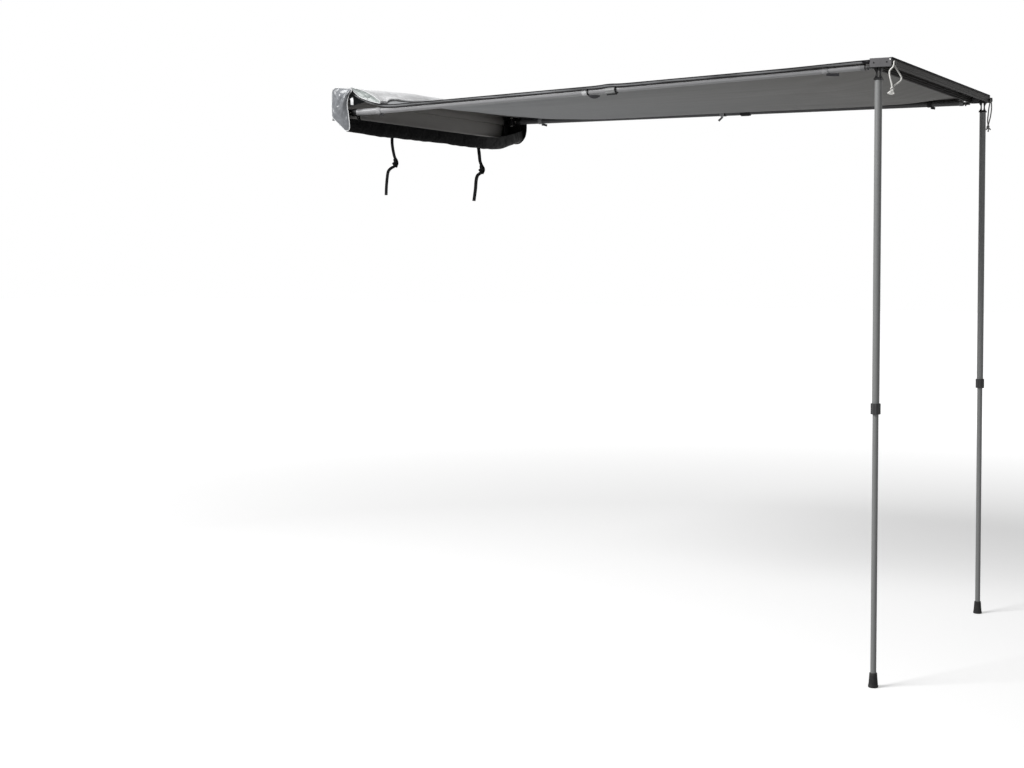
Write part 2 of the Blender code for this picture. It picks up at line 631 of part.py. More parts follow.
def canopy_height(x, y):
    """Middle of the sheet: held at both tracks, flat over the arms and slack between them."""
    track_z = TOP_Z - TRACK_SIZE / 2
    far = (-SWING_PIN_INSET - y) / (-SWING_PIN_INSET - PEG_Y)
    levels = [ARM_LEVEL[end] + (TIP_LEVEL[end] - ARM_LEVEL[end]) * far for end in SIDES]
    share = min(max((x + CANOPY_FLAT_X) / (2 * CANOPY_FLAT_X), 0), 1)
    over_arms = levels[0] + (levels[1] - levels[0]) * share + CANOPY_LIFT
    across = max(1 - abs(x / CANOPY_FLAT_X) ** 5, 0)
    case_run = 220 * MM + 440 * MM * math.sqrt(across)
    rail_run = 380 * MM
    from_case = min(max((-BACK_DEPTH - y) / case_run, 0), 1)
    from_rail = min(max((y - LEAD_INNER_Y) / rail_run, 0), 1)
    drop = (1 - (1 - from_case) ** 2.15) * (1 - (1 - from_rail) ** 2.8)
    return track_z + (over_arms - CANOPY_SAG * across - track_z) * drop


def add_canopy(finish):
    """Sheet from the back rail's bead track to the leading rail's, with hems down its sides."""
    half = END_X - HEM_INSET
    edge_gap = 0.8 * MM
    back_y = -BACK_DEPTH - edge_gap
    front_y = LEAD_INNER_Y + edge_gap
    from_middle = (0, 0.2, 0.36, 0.48, 0.56, 0.61, CANOPY_FLAT_X, half)
    columns = [-x for x in reversed(from_middle[1:])] + list(from_middle)
    rows = (0, 0.012, 0.03, 0.055, 0.08, 0.11, 0.15, 0.2, 0.27, 0.36, 0.46, 0.56, 0.66, 0.75, 0.82,
            0.88, 0.93, 0.965, 0.985, 1)
    shape = bmesh.new()
    grid = []
    for share in rows:
        y = back_y + (front_y - back_y) * share
        line = [shape.verts.new((x, y, canopy_height(x, y))) for x in columns]
        hems = [shape.verts.new(line[i].co - Vector((0, 0, HEM_DROP))) for i in (0, -1)]
        grid.append([hems[0], *line, hems[1]])
    for back, front in zip(grid, grid[1:]):
        for i in range(len(back) - 1):
            shape.faces.new((back[i], front[i], front[i + 1], back[i + 1]))
    canopy = solid("canopy", shape, finish["canvas"], sharp_deg=60)
    thicken(canopy, CLOTH, 0)
    return canopy


def sheet_strip(path, low, high):
    """Faces along X under a (y, z) path."""
    shape = bmesh.new()
    near = [shape.verts.new((low, y, z)) for y, z in path]
    far = [shape.verts.new((high, y, z)) for y, z in path]
    for i in range(len(path) - 1):
        shape.faces.new((near[i], near[i + 1], far[i + 1], far[i]))
    return shape, near, far


def add_bag(finish):
    """Cover bag: a pouch under the rail with tall end panels, and its lid laid out over the canopy."""
    half = END_X + 8 * MM
    under = -TOP_Z - SEAT_GAP - BAG_SHEET / 2
    pouch_drop = 50 * MM
    front = -BACK_DEPTH - 8 * MM
    rear = -2 * MM
    belly = -TOP_Z - pouch_drop
    heel = Vector((rear - 20 * MM, under))
    toe = Vector((front + 14 * MM, belly + 4 * MM))
    path = [(rear, under), tuple(heel), tuple(toe),
            *arc((front + 4 * MM, belly + 9 * MM), 9 * MM, 250, 180, 4), (front - 2 * MM, 4 * MM - TOP_Z)]
    shape, near, far = sheet_strip(path, -half, half)
    panel_top = TOP_Z + 5 * MM
    for line in (near, far):
        x = line[0].co.x
        corner_front = shape.verts.new((x, front - 4 * MM, panel_top))
        corner_rear = shape.verts.new((x, rear, panel_top))
        shape.faces.new([*line, corner_front, corner_rear])
    pouch = solid("bag_pouch", shape, finish["pvc"])
    thicken(pouch, BAG_SHEET, 0)

    lid_low = TOP_Z + SEAT_GAP + BAG_SHEET / 2
    rises = ((-3, 0), (-40, 0), (-70, 1), (-90, 8.5), (-120, 16), (-155, 20), (-178, 18.5), (-186, 12.5),
             (-182, 6.5), (-165, 3.5), (-130, 1), (-92, 0))
    lid_path = [(y * MM, lid_low + rise * MM) for y, rise in rises]
    lid_shape, _, _ = sheet_strip(lid_path, -END_X, END_X)
    lid = solid("bag_lid", lid_shape, finish["pvc"])
    thicken(lid, BAG_SHEET, 0)
    hang = heel.lerp(toe, 0.8)
    return hang.x, hang.y - 2.8 * MM


def add_strap(name, x, top, finish):
    """Webbing that hangs from the pouch, with one loose knot in it."""
    shape = bmesh.new()
    knot_at = 92 * MM
    length = 232 * MM
    flat = (STRAP_WIDTH / 2, STRAP_THICKNESS / 2)
    stations = [(0, *flat), (knot_at - 16 * MM, *flat), (knot_at - 9 * MM, 13 * MM, 8 * MM),
                (knot_at + 9 * MM, 13 * MM, 8 * MM), (knot_at + 16 * MM, *flat), (length, *flat)]
    rings = []
    for drop, half_width, half_depth in stations:
        corners = ((-1, -1), (1, -1), (1, 1), (-1, 1))
        rings.append([shape.verts.new((x + a * half_width, top[0] + b * half_depth, top[1] - drop))
                      for a, b in corners])
    for upper, lower in zip(rings, rings[1:]):
        for i in range(4):
            shape.faces.new((upper[i], upper[(i + 1) % 4], lower[(i + 1) % 4], lower[i]))
    shape.faces.new(rings[0])
    shape.faces.new(list(reversed(rings[-1])))
    return solid(name, shape, finish["webbing"])


def smooth_path(points, per_span):
    """Catmull-Rom points through a hand-picked route."""
    route = [Vector(p) for p in points]
    ends = [route[0] * 2 - route[1], *route, route[-1] * 2 - route[-2]]
    result = []
    for a, b, c, d in zip(ends, ends[1:], ends[2:], ends[3:]):
        for i in range(per_span):
            t = i / per_span
            result.append(0.5 * ((2 * b) + (c - a) * t + (2 * a - 5 * b + 4 * c - d) * t * t
                                 + (3 * b - a - 3 * c + d) * t * t * t))
    result.append(route[-1])
    return result


ROPE_ROUTES = {
    "front": [(-1, 7, -78), (-4, 8, -66), (-8, 11, -50), (-11, 13, -36), (-12, 12, -25), (-10, 6, -17),
              (-8, 1, -9), (-7.3, 0, -4), (-7, 0, 0.5), (-5, 0, 5), (0, 0, 7), (5, 0, 5), (7, 0, 0.5),
              (7.3, 0, -4), (8, 0, -8.5), (10, -2.5, -16), (13, -9, -27), (17.5, -16, -40),
              (19, -18, -51), (14.5, -12, -61), (7, -1, -70), (1, 6.5, -78)],
    "rear": [(-2, 9, -101), (-2, 11, -82), (-1.5, 9, -56), (-4, 6, -32), (-7, 2, -15), (-7.3, 0, -5),
             (-7, 0, 0.5), (-5, 0, 5), (0, 0, 7), (5, 0, 5), (7, 0, 0.5), (7.4, 0, -5), (10, -1, -22),
             (12, 0, -42), (9, 3, -68), (5, 7, -88), (1, 9, -101)],
}

KNOT_DROP = {"front": 1.9 * MM, "rear": 0.5 * MM}


def add_rope(end, side, finish):
    """Loop of cord that hangs from its eye, and the knot that closes it."""
    eye = Vector((side * (END_X - EYE_INSET), LEAD_OUTER_Y - SEAT_GAP - EYE_NECK, TOP_Z - EYE_DROP))
    route = [eye + Vector((x, y, z)) * MM for x, y, z in ROPE_ROUTES[end]]
    curve = bpy.data.curves.new(f"{end}_rope", "CURVE")
    curve.dimensions = "3D"
    spline = curve.splines.new("POLY")
    points = smooth_path(route, 3)
    spline.points.add(len(points) - 1)
    for point, place in zip(spline.points, points):
        point.co = (*place, 1)
    curve.bevel_depth = ROPE_R
    curve.bevel_resolution = 2
    curve.use_fill_caps = True
    link(f"{end}_rope", curve, finish["rope"])

    middle = (route[0] + route[-1]) / 2
    knot = solid(f"{end}_rope_knot", turned([
        (0, 0), (4 * MM, -1 * MM), (6.5 * MM, -5 * MM), (7 * MM, -9 * MM), (6 * MM, -12 * MM),
        (8.5 * MM, -20 * MM), (8 * MM, -21 * MM), (0, -21 * MM)], 16, closed=False), finish["rope"])
    knot.location = (middle.x, middle.y, middle.z - KNOT_DROP[end])


def main():
    clear_scene()
    finish = {
        "aluminium": make_material("aluminium", (0.56, 0.57, 0.58), 0.35, 1.0),
        "grey_steel": make_material("grey_steel", (0.30, 0.30, 0.31), 0.45, 1.0),
        "black_steel": make_material("black_steel", (0.03, 0.03, 0.03), 0.5, 0.6),
        "zinc": make_material("zinc", (0.6, 0.6, 0.58), 0.3, 1.0),
        "black_plastic": make_material("black_plastic", (0.015, 0.015, 0.016), 0.5),
        "grey_plastic": make_material("grey_plastic", (0.18, 0.18, 0.19), 0.5),
        "white_plastic": make_material("white_plastic", (0.75, 0.75, 0.73), 0.5),
        "rubber": make_material("rubber", (0.02, 0.02, 0.02), 0.8),
        "canvas": make_material("canvas", (0.10, 0.10, 0.11), 0.85),
        "pvc": make_material("pvc", (0.03, 0.03, 0.032), 0.35),
        "webbing": make_material("webbing", (0.02, 0.02, 0.02), 0.9),
        "rope": make_material("rope", (0.8, 0.79, 0.76), 0.9),
    }
    add_rails(finish)
    for end, side in SIDES.items():
        add_rail_ends(end, side, finish)
        root_point = add_arm_mounting(end, side, finish)
        add_arm(end, side, root_point, finish)
        add_catch(end, side, finish)
        lane_y = LEAD_Y - side * LANE_OFFSET
        fold = add_leg_hinge(end, side, lane_y, finish)
        add_leg(end, fold, finish)
        add_rope(end, side, finish)
    add_canopy(finish)
    strap_top = add_bag(finish)
    add_strap("front_strap", -0.36, strap_top, finish)
    add_strap("rear_strap", 0.34, strap_top, finish)


main()
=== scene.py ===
import math

import bpy
from mathutils import Matrix, Vector, noise


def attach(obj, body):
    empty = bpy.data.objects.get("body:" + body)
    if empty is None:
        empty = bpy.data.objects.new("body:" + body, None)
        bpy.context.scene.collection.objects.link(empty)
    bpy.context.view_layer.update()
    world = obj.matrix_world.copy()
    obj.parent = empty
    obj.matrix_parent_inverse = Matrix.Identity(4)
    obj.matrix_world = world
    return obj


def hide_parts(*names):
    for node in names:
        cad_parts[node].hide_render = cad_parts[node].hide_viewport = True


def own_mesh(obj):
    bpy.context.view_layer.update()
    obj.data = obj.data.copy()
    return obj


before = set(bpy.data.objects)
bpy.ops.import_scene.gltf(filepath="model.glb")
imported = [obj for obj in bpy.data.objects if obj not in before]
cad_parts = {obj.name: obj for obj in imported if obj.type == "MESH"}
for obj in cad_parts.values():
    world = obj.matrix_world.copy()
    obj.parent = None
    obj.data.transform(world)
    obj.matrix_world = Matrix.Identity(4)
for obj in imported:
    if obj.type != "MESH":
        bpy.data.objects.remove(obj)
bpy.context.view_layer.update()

MM = 0.001
SAME_POINT = 0.02 * MM
SIDES = {"front": -1, "rear": 1}

# Sizes shared with the solid model
TOP_Z = 0.060
GROUND_Z = -2.031
END_X = 0.700
BACK_DEPTH = 0.072
LEAD_OUTER_Y = -2.230
LEAD_INNER_Y = -2.156
TRACK_DROP = 0.004
CANOPY_HALF = 0.690
SWING_Y = -0.045
PEG_Y = -2.1407
ARM_X = 0.670
ARM_LEVEL = {"front": -0.033, "rear": 0.0315}
TIP_LEVEL = {"front": 0.037, "rear": 0.0315}
ARM_ROOT = {"front": Vector((-ARM_X, -0.0730, -0.03265)), "rear": Vector((ARM_X, -0.0730, 0.0321))}
ARM_PEG = {end: Vector((side * ARM_X, PEG_Y, TIP_LEVEL[end])) for end, side in SIDES.items()}
PEG_FROM_FACE = 0.009
ARM_TUBE_R = 0.0125
ARM_SLIDE_R = 0.011
LOCK_Y = -1.1985
BAG_HALF = 0.708
STRAP_TOP = (-0.0572, -0.0999)


# Camera
IMAGE_WIDTH = 1024
FOCAL_PIXELS = 1635.8
CAMERA_AT = Vector((-6.007, -3.750, -0.609))
YAW, PITCH, ROLL = (math.radians(a) for a in (28.99, 1.40, 0.20))
AXIS_ABOVE_MIDDLE = 84
FAR_AWAY = 100


def make_camera():
    data = bpy.data.cameras.new("camera")
    camera = bpy.data.objects.new("camera", data)
    bpy.context.scene.collection.objects.link(camera)
    forward = Vector((math.cos(YAW) * math.cos(PITCH), math.sin(YAW) * math.cos(PITCH), -math.sin(PITCH)))
    right = Vector((math.sin(YAW), -math.cos(YAW), 0))
    up = right.cross(forward)
    side = right * math.cos(ROLL) + up * math.sin(ROLL)
    over = up * math.cos(ROLL) - right * math.sin(ROLL)
    turn = Matrix((side, over, -forward)).transposed().to_4x4()
    camera.matrix_world = Matrix.Translation(CAMERA_AT) @ turn
    data.lens = FOCAL_PIXELS * data.sensor_width / IMAGE_WIDTH
    data.shift_y = -AXIS_ABOVE_MIDDLE / IMAGE_WIDTH
    data.clip_end = FAR_AWAY
    bpy.context.scene.camera = camera


# Making pieces
def take(*chosen):
    """Select only these objects, the first one active."""
    if bpy.context.object and bpy.context.object.mode != "OBJECT":
        bpy.ops.object.mode_set(mode="OBJECT")
    bpy.ops.object.select_all(action="DESELECT")
    for piece in chosen:
        piece.select_set(True)
    bpy.context.view_layer.objects.active = chosen[0]


def settle(piece):
    """Put the piece's place, turn and size into its mesh."""
    take(piece)
    bpy.ops.object.transform_apply(location=True, rotation=True, scale=True)


def apply_all(piece):
    take(piece)
    for step in list(piece.modifiers):
        bpy.ops.object.modifier_apply(modifier=step.name)


def smooth(piece, degrees=35):
    take(piece)
    bpy.ops.object.shade_smooth_by_angle(angle=math.radians(degrees))


def finished(piece, name, material, body, degrees=35):
    """Name, paint and shade a piece, and let it ride on its body."""
    piece.name = name
    piece.data.name = name
    piece.data.materials.clear()
    for one in material if isinstance(material, (list, tuple)) else (material,):
        piece.data.materials.append(one)
    smooth(piece, degrees)
    settle(piece)
    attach(piece, body)
    return piece


def box_piece(low, high):
    """A cube brought to size between two corners."""
    bpy.ops.object.select_all(action="DESELECT")
    centre = [(a + b) / 2 for a, b in zip(low, high)]
    size = [b - a for a, b in zip(low, high)]
    bpy.ops.mesh.primitive_cube_add(size=1, location=centre, scale=size)
    piece = bpy.context.object
    settle(piece)
    return piece


def round_piece(radius, depth, place, count, open_ends=False):
    """A cylinder with its axis along the Z of a place."""
    bpy.ops.object.select_all(action="DESELECT")
    ends = "NOTHING" if open_ends else "NGON"
    bpy.ops.mesh.primitive_cylinder_add(vertices=count, radius=radius, depth=depth, end_fill_type=ends)
    piece = bpy.context.object
    piece.matrix_world = place
    settle(piece)
    return piece


def pick(piece, test):
    """Go to edit mode with only those faces chosen whose centre and normal pass the test."""
    take(piece)
    bpy.ops.object.mode_set(mode="EDIT")
    bpy.ops.mesh.select_mode(type="FACE")
    bpy.ops.mesh.select_all(action="DESELECT")
    bpy.ops.object.mode_set(mode="OBJECT")
    for face in piece.data.polygons:
        face.select = test(face.center, face.normal)
    bpy.ops.object.mode_set(mode="EDIT")


def put_by(move):
    """Shift what is chosen, then leave edit mode."""
    bpy.ops.transform.translate(value=move)
    bpy.ops.object.mode_set(mode="OBJECT")


def edit_all(piece, step, **settings):
    """Run one edit step on the whole mesh."""
    take(piece)
    bpy.ops.object.mode_set(mode="EDIT")
    bpy.ops.mesh.select_all(action="SELECT")
    step(**settings)
    bpy.ops.object.mode_set(mode="OBJECT")


def face_out(piece):
    """Turn all faces to look outwards."""
    edit_all(piece, bpy.ops.mesh.normals_make_consistent, inside=False)


def mesh_piece(verts, faces, closed=False):
    """A sheet or tube given by its own grid of points."""
    mesh = bpy.data.meshes.new("piece")
    mesh.from_pydata(verts, [], faces)
    piece = bpy.data.objects.new("piece", mesh)
    bpy.context.scene.collection.objects.link(piece)
    edit_all(piece, bpy.ops.mesh.remove_doubles, threshold=SAME_POINT)
    if closed:
        face_out(piece)
    return piece


def grid_faces(rows, columns, wrap=False):
    faces = []
    for row in range(rows - 1):
        for column in range(columns if wrap else columns - 1):
            beside = (column + 1) % columns
            faces.append((row * columns + column, row * columns + beside,
                          (row + 1) * columns + beside, (row + 1) * columns + column))
    return faces


def tube_faces(rows, count, caps=True):
    """Faces of a closed section carried through some rows, with or without its two ends."""
    faces = grid_faces(rows, count, wrap=True)
    if caps:
        faces += [tuple(reversed(range(count))), tuple(range((rows - 1) * count, rows * count))]
    return faces


def wall(piece, thickness, offset=0.0):
    sheet = piece.modifiers.new("wall", "SOLIDIFY")
    sheet.thickness = thickness
    sheet.offset = offset
    sheet.use_even_offset = True


def rounder(piece):
    curve = piece.modifiers.new("round", "SUBSURF")
    curve.levels = 1
    curve.render_levels = 1


def edge_bevel(piece, width, degrees=35):
    rounding = piece.modifiers.new("edges", "BEVEL")
    rounding.width = width
    rounding.segments = 2
    rounding.limit_method = "ANGLE"
    rounding.angle_limit = math.radians(degrees)


def between(corners, per_span):
    """Catmull-Rom points between the middle two of each four corners."""
    points = []
    for a, b, c, d in corners:
        for step in range(per_span):
            t = step / per_span
            points.append(0.5 * ((2 * b) + (c - a) * t + (2 * a - 5 * b + 4 * c - d) * t * t
                                 + (3 * b - a - 3 * c + d) * t * t * t))
    return points


def smooth_route(points, per_span):
    """A smooth curve through a given route."""
    route = [Vector(p) for p in points]
    ends = [route[0] * 2 - route[1], *route, route[-1] * 2 - route[-2]]
    return between(zip(ends, ends[1:], ends[2:], ends[3:]), per_span) + [route[-1]]


def smooth_loop(points, per_span):
    """The same through a closed outline."""
    loop = [Vector(p) for p in points]
    return between(zip(loop[-1:] + loop[:-1], loop, loop[1:] + loop[:1], loop[2:] + loop[:2]), per_span)


def ring_route(centre, out, deep, high, steps, lean=0.0):
    """A closed ring of points, its three half sizes in millimetres."""
    turns = [2 * math.pi * i / steps for i in range(steps + 1)]
    return [centre + Vector((out * math.cos(t), deep * math.sin(t + lean), high * math.sin(t))) * MM
            for t in turns]


def travelled(points, distance):
    """How far along a run each of its points lies."""
    lengths = [0.0]
    for a, b in zip(points, points[1:]):
        lengths.append(lengths[-1] + distance(a, b))
    return lengths


def swept(points, section, twist=None, caps=True, start_side=(0, 1, 0), swell=None):
    """A section of (across, over) points carried along a route, with a UV along its length."""
    side = Vector(start_side)
    verts = []
    last = len(points) - 1
    for i, here in enumerate(points):
        share = i / last
        ahead = points[min(i + 1, last)] - points[max(i - 1, 0)]
        ahead.normalize()
        side = (side - ahead * side.dot(ahead)).normalized()
        over = ahead.cross(side)
        turn = math.radians(twist(share)) if twist else 0
        size = swell(share) if swell else 1
        across = (side * math.cos(turn) + over * math.sin(turn)) * size
        above = (over * math.cos(turn) - side * math.sin(turn)) * size
        verts += [here + across * u + above * v for u, v in section]
    count = len(section)
    piece = mesh_piece(verts, tube_faces(len(points), count, caps), closed=True)
    layer = piece.data.uv_layers.new(name="along")
    lengthwise = travelled(points, lambda a, b: (b - a).length)
    round_about = travelled(section, math.dist)
    for face in piece.data.polygons:
        for corner in face.loop_indices:
            vertex = piece.data.loops[corner].vertex_index
            layer.data[corner].uv = (round_about[vertex % count], lengthwise[min(vertex // count, last)])
    return piece


def round_section(radius, count=12):
    return [(radius * math.cos(2 * math.pi * i / count), radius * math.sin(2 * math.pi * i / count))
            for i in range(count)]


def flat_section(width, thickness):
    """Webbing seen end on, with rounded edges."""
    w, t = width / 2, thickness / 2
    return [(-w, 0), (-w * 0.94, -t), (-w * 0.5, -t), (0, -t), (w * 0.5, -t), (w * 0.94, -t),
            (w, 0), (w * 0.94, t), (w * 0.5, t), (0, t), (-w * 0.5, t), (-w * 0.94, t)]


def ring_piece(radius, length, place, thickness, bevel):
    """A short open tube with its wall inwards and its edges rounded."""
    ring = round_piece(radius, length, place, 40, open_ends=True)
    edit_all(ring, bpy.ops.mesh.subdivide, number_cuts=2)
    wall(ring, thickness, -1.0)
    edge_bevel(ring, bevel)
    apply_all(ring)
    return ring


def clamp(value):
    """The value kept between nought and one."""
    return max(0.0, min(1.0, value))


def eased(value):
    """Nought to one with a soft start and end."""
    value = clamp(value)
    return value * value * (3 - 2 * value)


# Finishes
LINES_ALONG = 1.5
LINES_ACROSS = 220.0
PLASTIC_GRAIN = 1400.0
CLOTH_GRAIN = 900.0
WEAVE = 180.0
BRAID = 190.0


class Tree:
    """A node tree, built up step by step."""

    def __init__(self, tree):
        self.nodes = tree.nodes
        self.links = tree.links

    def feed(self, node, inputs):
        """Set inputs to values, or join them to sockets."""
        for key, value in inputs.items():
            if hasattr(value, "links"):
                self.links.new(value, node.inputs[key])
            else:
                node.inputs[key].default_value = value
        return self

    def node(self, kind, inputs, output=0, **traits):
        """Add a node with its traits set and its inputs fed, and give one of its outputs."""
        node = self.nodes.new("ShaderNode" + kind)
        for trait, value in traits.items():
            setattr(node, trait, value)
        self.feed(node, inputs)
        return node.outputs[output]

    def maths(self, operation, first, second):
        return self.node("Math", {0: first, 1: second}, operation=operation)

    def seen_directly(self):
        """One where a camera, a mirror or clear glass looks, and nought for soft light."""
        rays = self.nodes.new("ShaderNodeLightPath").outputs
        direct = self.maths("MAXIMUM", rays["Is Camera Ray"], rays["Is Glossy Ray"])
        return self.maths("MAXIMUM", direct, rays["Is Transmission Ray"])


class Finish(Tree):
    """A material with one shader, its colour, relief and roughness driven by patterns."""

    def __init__(self, name, colour, roughness, metallic=0.0):
        self.material = bpy.data.materials.new(name)
        self.material.use_nodes = True
        super().__init__(self.material.node_tree)
        self.shader = self.nodes["Principled BSDF"]
        self.bump_from = None
        self.shade({"Base Color": (*colour, 1), "Roughness": roughness, "Metallic": metallic})

    def shade(self, inputs):
        return self.feed(self.shader, inputs)

    def place(self, scale=(1, 1, 1), turn=(0, 0, 0), uv=None):
        """The object's own coordinates, or a UV layer's, scaled and turned."""
        start = self.node("UVMap", {}, "UV", uv_map=uv) if uv else self.node("TexCoord", {}, "Object")
        return self.node("Mapping", {"Vector": start, "Scale": scale, "Rotation": turn})

    def along(self, axis):
        """One of the object's own coordinates."""
        return self.node("SeparateXYZ", {0: self.place()}, "XYZ".index(axis))

    def cloud(self, scale, detail=4.0, rough=0.55, distortion=0.0, at=None):
        return self.node("TexNoise", {"Vector": at or self.place(), "Scale": scale, "Detail": detail,
                                      "Roughness": rough, "Distortion": distortion}, "Fac")

    def stripes(self, scale, direction="X", at=None):
        return self.node("TexWave", {"Vector": at or self.place(), "Scale": scale}, "Fac",
                         bands_direction=direction)

    def cells(self, scale, feature="F1"):
        return self.node("TexVoronoi", {"Vector": self.place(), "Scale": scale}, "Distance", feature=feature)

    def blend(self, first, share, second, rest):
        """Two values added in the shares given."""
        return self.maths("ADD", self.maths("MULTIPLY", first, share), self.maths("MULTIPLY", second, rest))

    def spread(self, value, low, high, to_low=0.0, to_high=1.0):
        return self.node("MapRange", {"Value": value, "From Min": low, "From Max": high, "To Min": to_low,
                                      "To Max": to_high})

    def tint(self, value, dark, light):
        """Base colour runs between two colours, or two earlier tints, with the value."""
        node = self.nodes.new("ShaderNodeMix")
        node.data_type = "RGBA"
        first, second = (index for index, socket in enumerate(node.inputs) if socket.type == "RGBA")
        dark, light = (colour if hasattr(colour, "links") else (*colour, 1) for colour in (dark, light))
        self.feed(node, {"Factor": value, first: dark, second: light})
        result = next(socket for socket in node.outputs if socket.type == "RGBA")
        self.shade({"Base Color": result})
        return result

    def tones(self, value, colour, dark, light):
        """Base colour runs from a darker to a lighter tone of one colour."""
        ends = (tuple(min(1, c * factor) for c in colour) for factor in (dark, light))
        return self.tint(value, *ends)

    def rough(self, value, low, high):
        self.shade({"Roughness": self.spread(value, 0.3, 0.7, low, high)})

    def bump(self, value, strength, depth):
        inputs = {"Strength": strength, "Distance": depth, "Height": value}
        if self.bump_from:
            inputs["Normal"] = self.bump_from
        self.bump_from = self.node("Bump", inputs)
        self.shade({"Normal": self.bump_from})

    def coat(self, weight):
        return self.shade({"Coat Weight": weight, "Coat Roughness": 0.25})

    def shine(self, level):
        return self.shade({"Specular IOR Level": level})

    def sheen(self, weight):
        return self.shade({"Sheen Weight": weight, "Sheen Roughness": 0.5})


def drawn_metal(name, colour, roughness, along, metallic=0.1, level=0.35):
    """Extruded or drawn aluminium: fine lines along one axis, and a little handling wear."""
    finish = Finish(name, colour, roughness, metallic)
    stretch = [LINES_ACROSS] * 3
    stretch["XYZ".index(along)] = LINES_ALONG
    lines = finish.cloud(1.0, 3, at=finish.place(stretch))
    wear = finish.cloud(9.0, 5)
    finish.tones(finish.blend(lines, 0.6, wear, 0.4), colour, 0.86, 1.12)
    finish.rough(wear, roughness - 0.06, roughness + 0.08)
    finish.bump(lines, 0.2, 0.0002)
    return finish.shine(level).material


def grooved_metal(name, colour, roughness):
    """Leading rail: drawn along X, with the shallow grooves of its outer face, their light and dark bands
    painted shade and highlight.
    """
    finish = Finish(name, colour, roughness)
    lines = finish.cloud(1.0, 3, at=finish.place((LINES_ALONG, LINES_ACROSS, LINES_ACROSS)))
    grooves = finish.stripes(42.0, "Z")
    finish.bump(lines, 0.2, 0.0002)
    finish.bump(grooves, 0.8, 0.0012)
    # Tone dark in the grooves and light on their ridges, over the drawn lines: painted shade and highlight
    finish.tones(finish.blend(lines, 0.5, grooves, 0.5), colour, 0.35, 1.75)
    return finish.shine(0.08).material


def moulded_plastic(name, colour, roughness, level=0.3):
    """Moulded plastic: a fine sparked grain and faint rubbing."""
    finish = Finish(name, colour, roughness)
    grains = finish.cells(PLASTIC_GRAIN)
    rub = finish.cloud(35.0, 5)
    finish.tones(rub, colour, 0.8, 1.35)
    finish.rough(rub, roughness - 0.08, roughness + 0.08)
    finish.bump(grains, 0.3, 0.0002)
    return finish.shine(level).material


def powder_coat(name, colour, roughness):
    finish = Finish(name, colour, roughness)
    peel = finish.cloud(700.0, 3)
    dust = finish.cloud(16.0, 5)
    finish.tones(dust, colour, 0.85, 1.3)
    finish.rough(dust, roughness - 0.05, roughness + 0.08)
    finish.bump(peel, 0.35, 0.0003)
    return finish.shine(0.2).material


def plated_steel(name):
    colour = (0.42, 0.415, 0.39)
    finish = Finish(name, colour, 0.34, 0.8)
    mottle = finish.cells(260.0)
    haze = finish.cloud(60.0, 4)
    finish.tones(haze, colour, 0.8, 1.15)
    finish.rough(mottle, 0.26, 0.44)
    return finish.material


def rubber_finish(name):
    colour = (0.022, 0.022, 0.023)
    finish = Finish(name, colour, 0.75)
    dust = finish.cloud(40.0, 6)
    finish.tint(finish.spread(dust, 0.4, 0.8), colour, (0.07, 0.068, 0.064))
    finish.bump(finish.cloud(CLOTH_GRAIN, 2), 0.3, 0.0003)
    return finish.shine(0.15).material


def canvas_finish(name, colour, near_rail):
    """Coated canopy cloth: plain weave, faint creases along it, a tone that follows the folds and creases,
    and a colour that grows darker and browner from the case to the rail.
    """
    finish = Finish(name, colour, 0.78)
    weave = finish.maths("MULTIPLY", *(finish.stripes(WEAVE, axis) for axis in "XY"))
    finish.bump(weave, 0.25, 0.0003)
    folds = finish.cloud(1.6, 5, 0.6, at=finish.place((9.0, 1.3, 1.0), (0, 0, 0.05)))
    creases = finish.cloud(1.3, 4, 0.5, at=finish.place((30.0, 2.4, 1.0), (0, 0, -0.07)))
    finish.bump(creases, 0.5, 0.0016)
    finish.bump(folds, 0.4, 0.004)
    tone = finish.spread(finish.blend(folds, 0.55, creases, 0.45), 0.35, 0.65)
    near_case = finish.tones(tone, colour, 0.86, 1.14)
    rail_end = finish.tones(tone, near_rail, 0.88, 1.12)
    finish.tint(finish.spread(finish.along("Y"), -0.5, -2.0), near_case, rail_end)
    finish.rough(folds, 0.7, 0.85)
    return finish.sheen(0.1).material


def hem_finish(name, colour):
    """Side hem: doubled cloth with long pulled streaks, nearly along it, bumped as small ripples and toned
    light and dark as painted highlight and shade.
    """
    finish = Finish(name, colour, 0.7)
    streaks = finish.cloud(1.0, 2, 0.4, at=finish.place((30.0, 7.0, 190.0), (math.radians(1.6), 0, 0)))
    threads = finish.stripes(260.0, "Y")
    finish.bump(threads, 0.3, 0.0003)
    finish.bump(streaks, 0.6, 0.0012)
    # Wide streak tone, 0.35 to 2.6 times the colour: painted highlight and shade on the ripples
    finish.tones(finish.spread(streaks, 0.35, 0.68), colour, 0.35, 2.6)
    return finish.sheen(0.1).material


def coated_cloth(name, colour, roughness, crinkle, coat, light=1.35, dark=0.7, level=0.4,
                 sizes=(14.0, 34.0)):
    """Coated bag cloth: a glossy skin with soft crinkles and sharp little creases, its tone lighter and
    darker with the soft crinkles.
    """
    finish = Finish(name, colour, roughness)
    soft = finish.cloud(sizes[0], 4, 0.5, 0.6)
    sharp = finish.cells(sizes[1], "DISTANCE_TO_EDGE")
    grain = finish.cloud(CLOTH_GRAIN, 2)
    finish.bump(grain, 0.2, 0.0002)
    finish.bump(finish.spread(sharp, 0.0, 0.14), 0.35 * crinkle, 0.0016)
    finish.bump(soft, 0.75 * crinkle, 0.010)
    # Tone follows the soft crinkles; a wide spread, as on the silver end panels, is painted reflection and
    # shade on the facets
    finish.tones(soft, colour, dark, light)
    finish.rough(finish.cloud(30.0, 4), roughness - 0.08, roughness + 0.12)
    return finish.shine(level).coat(coat).material


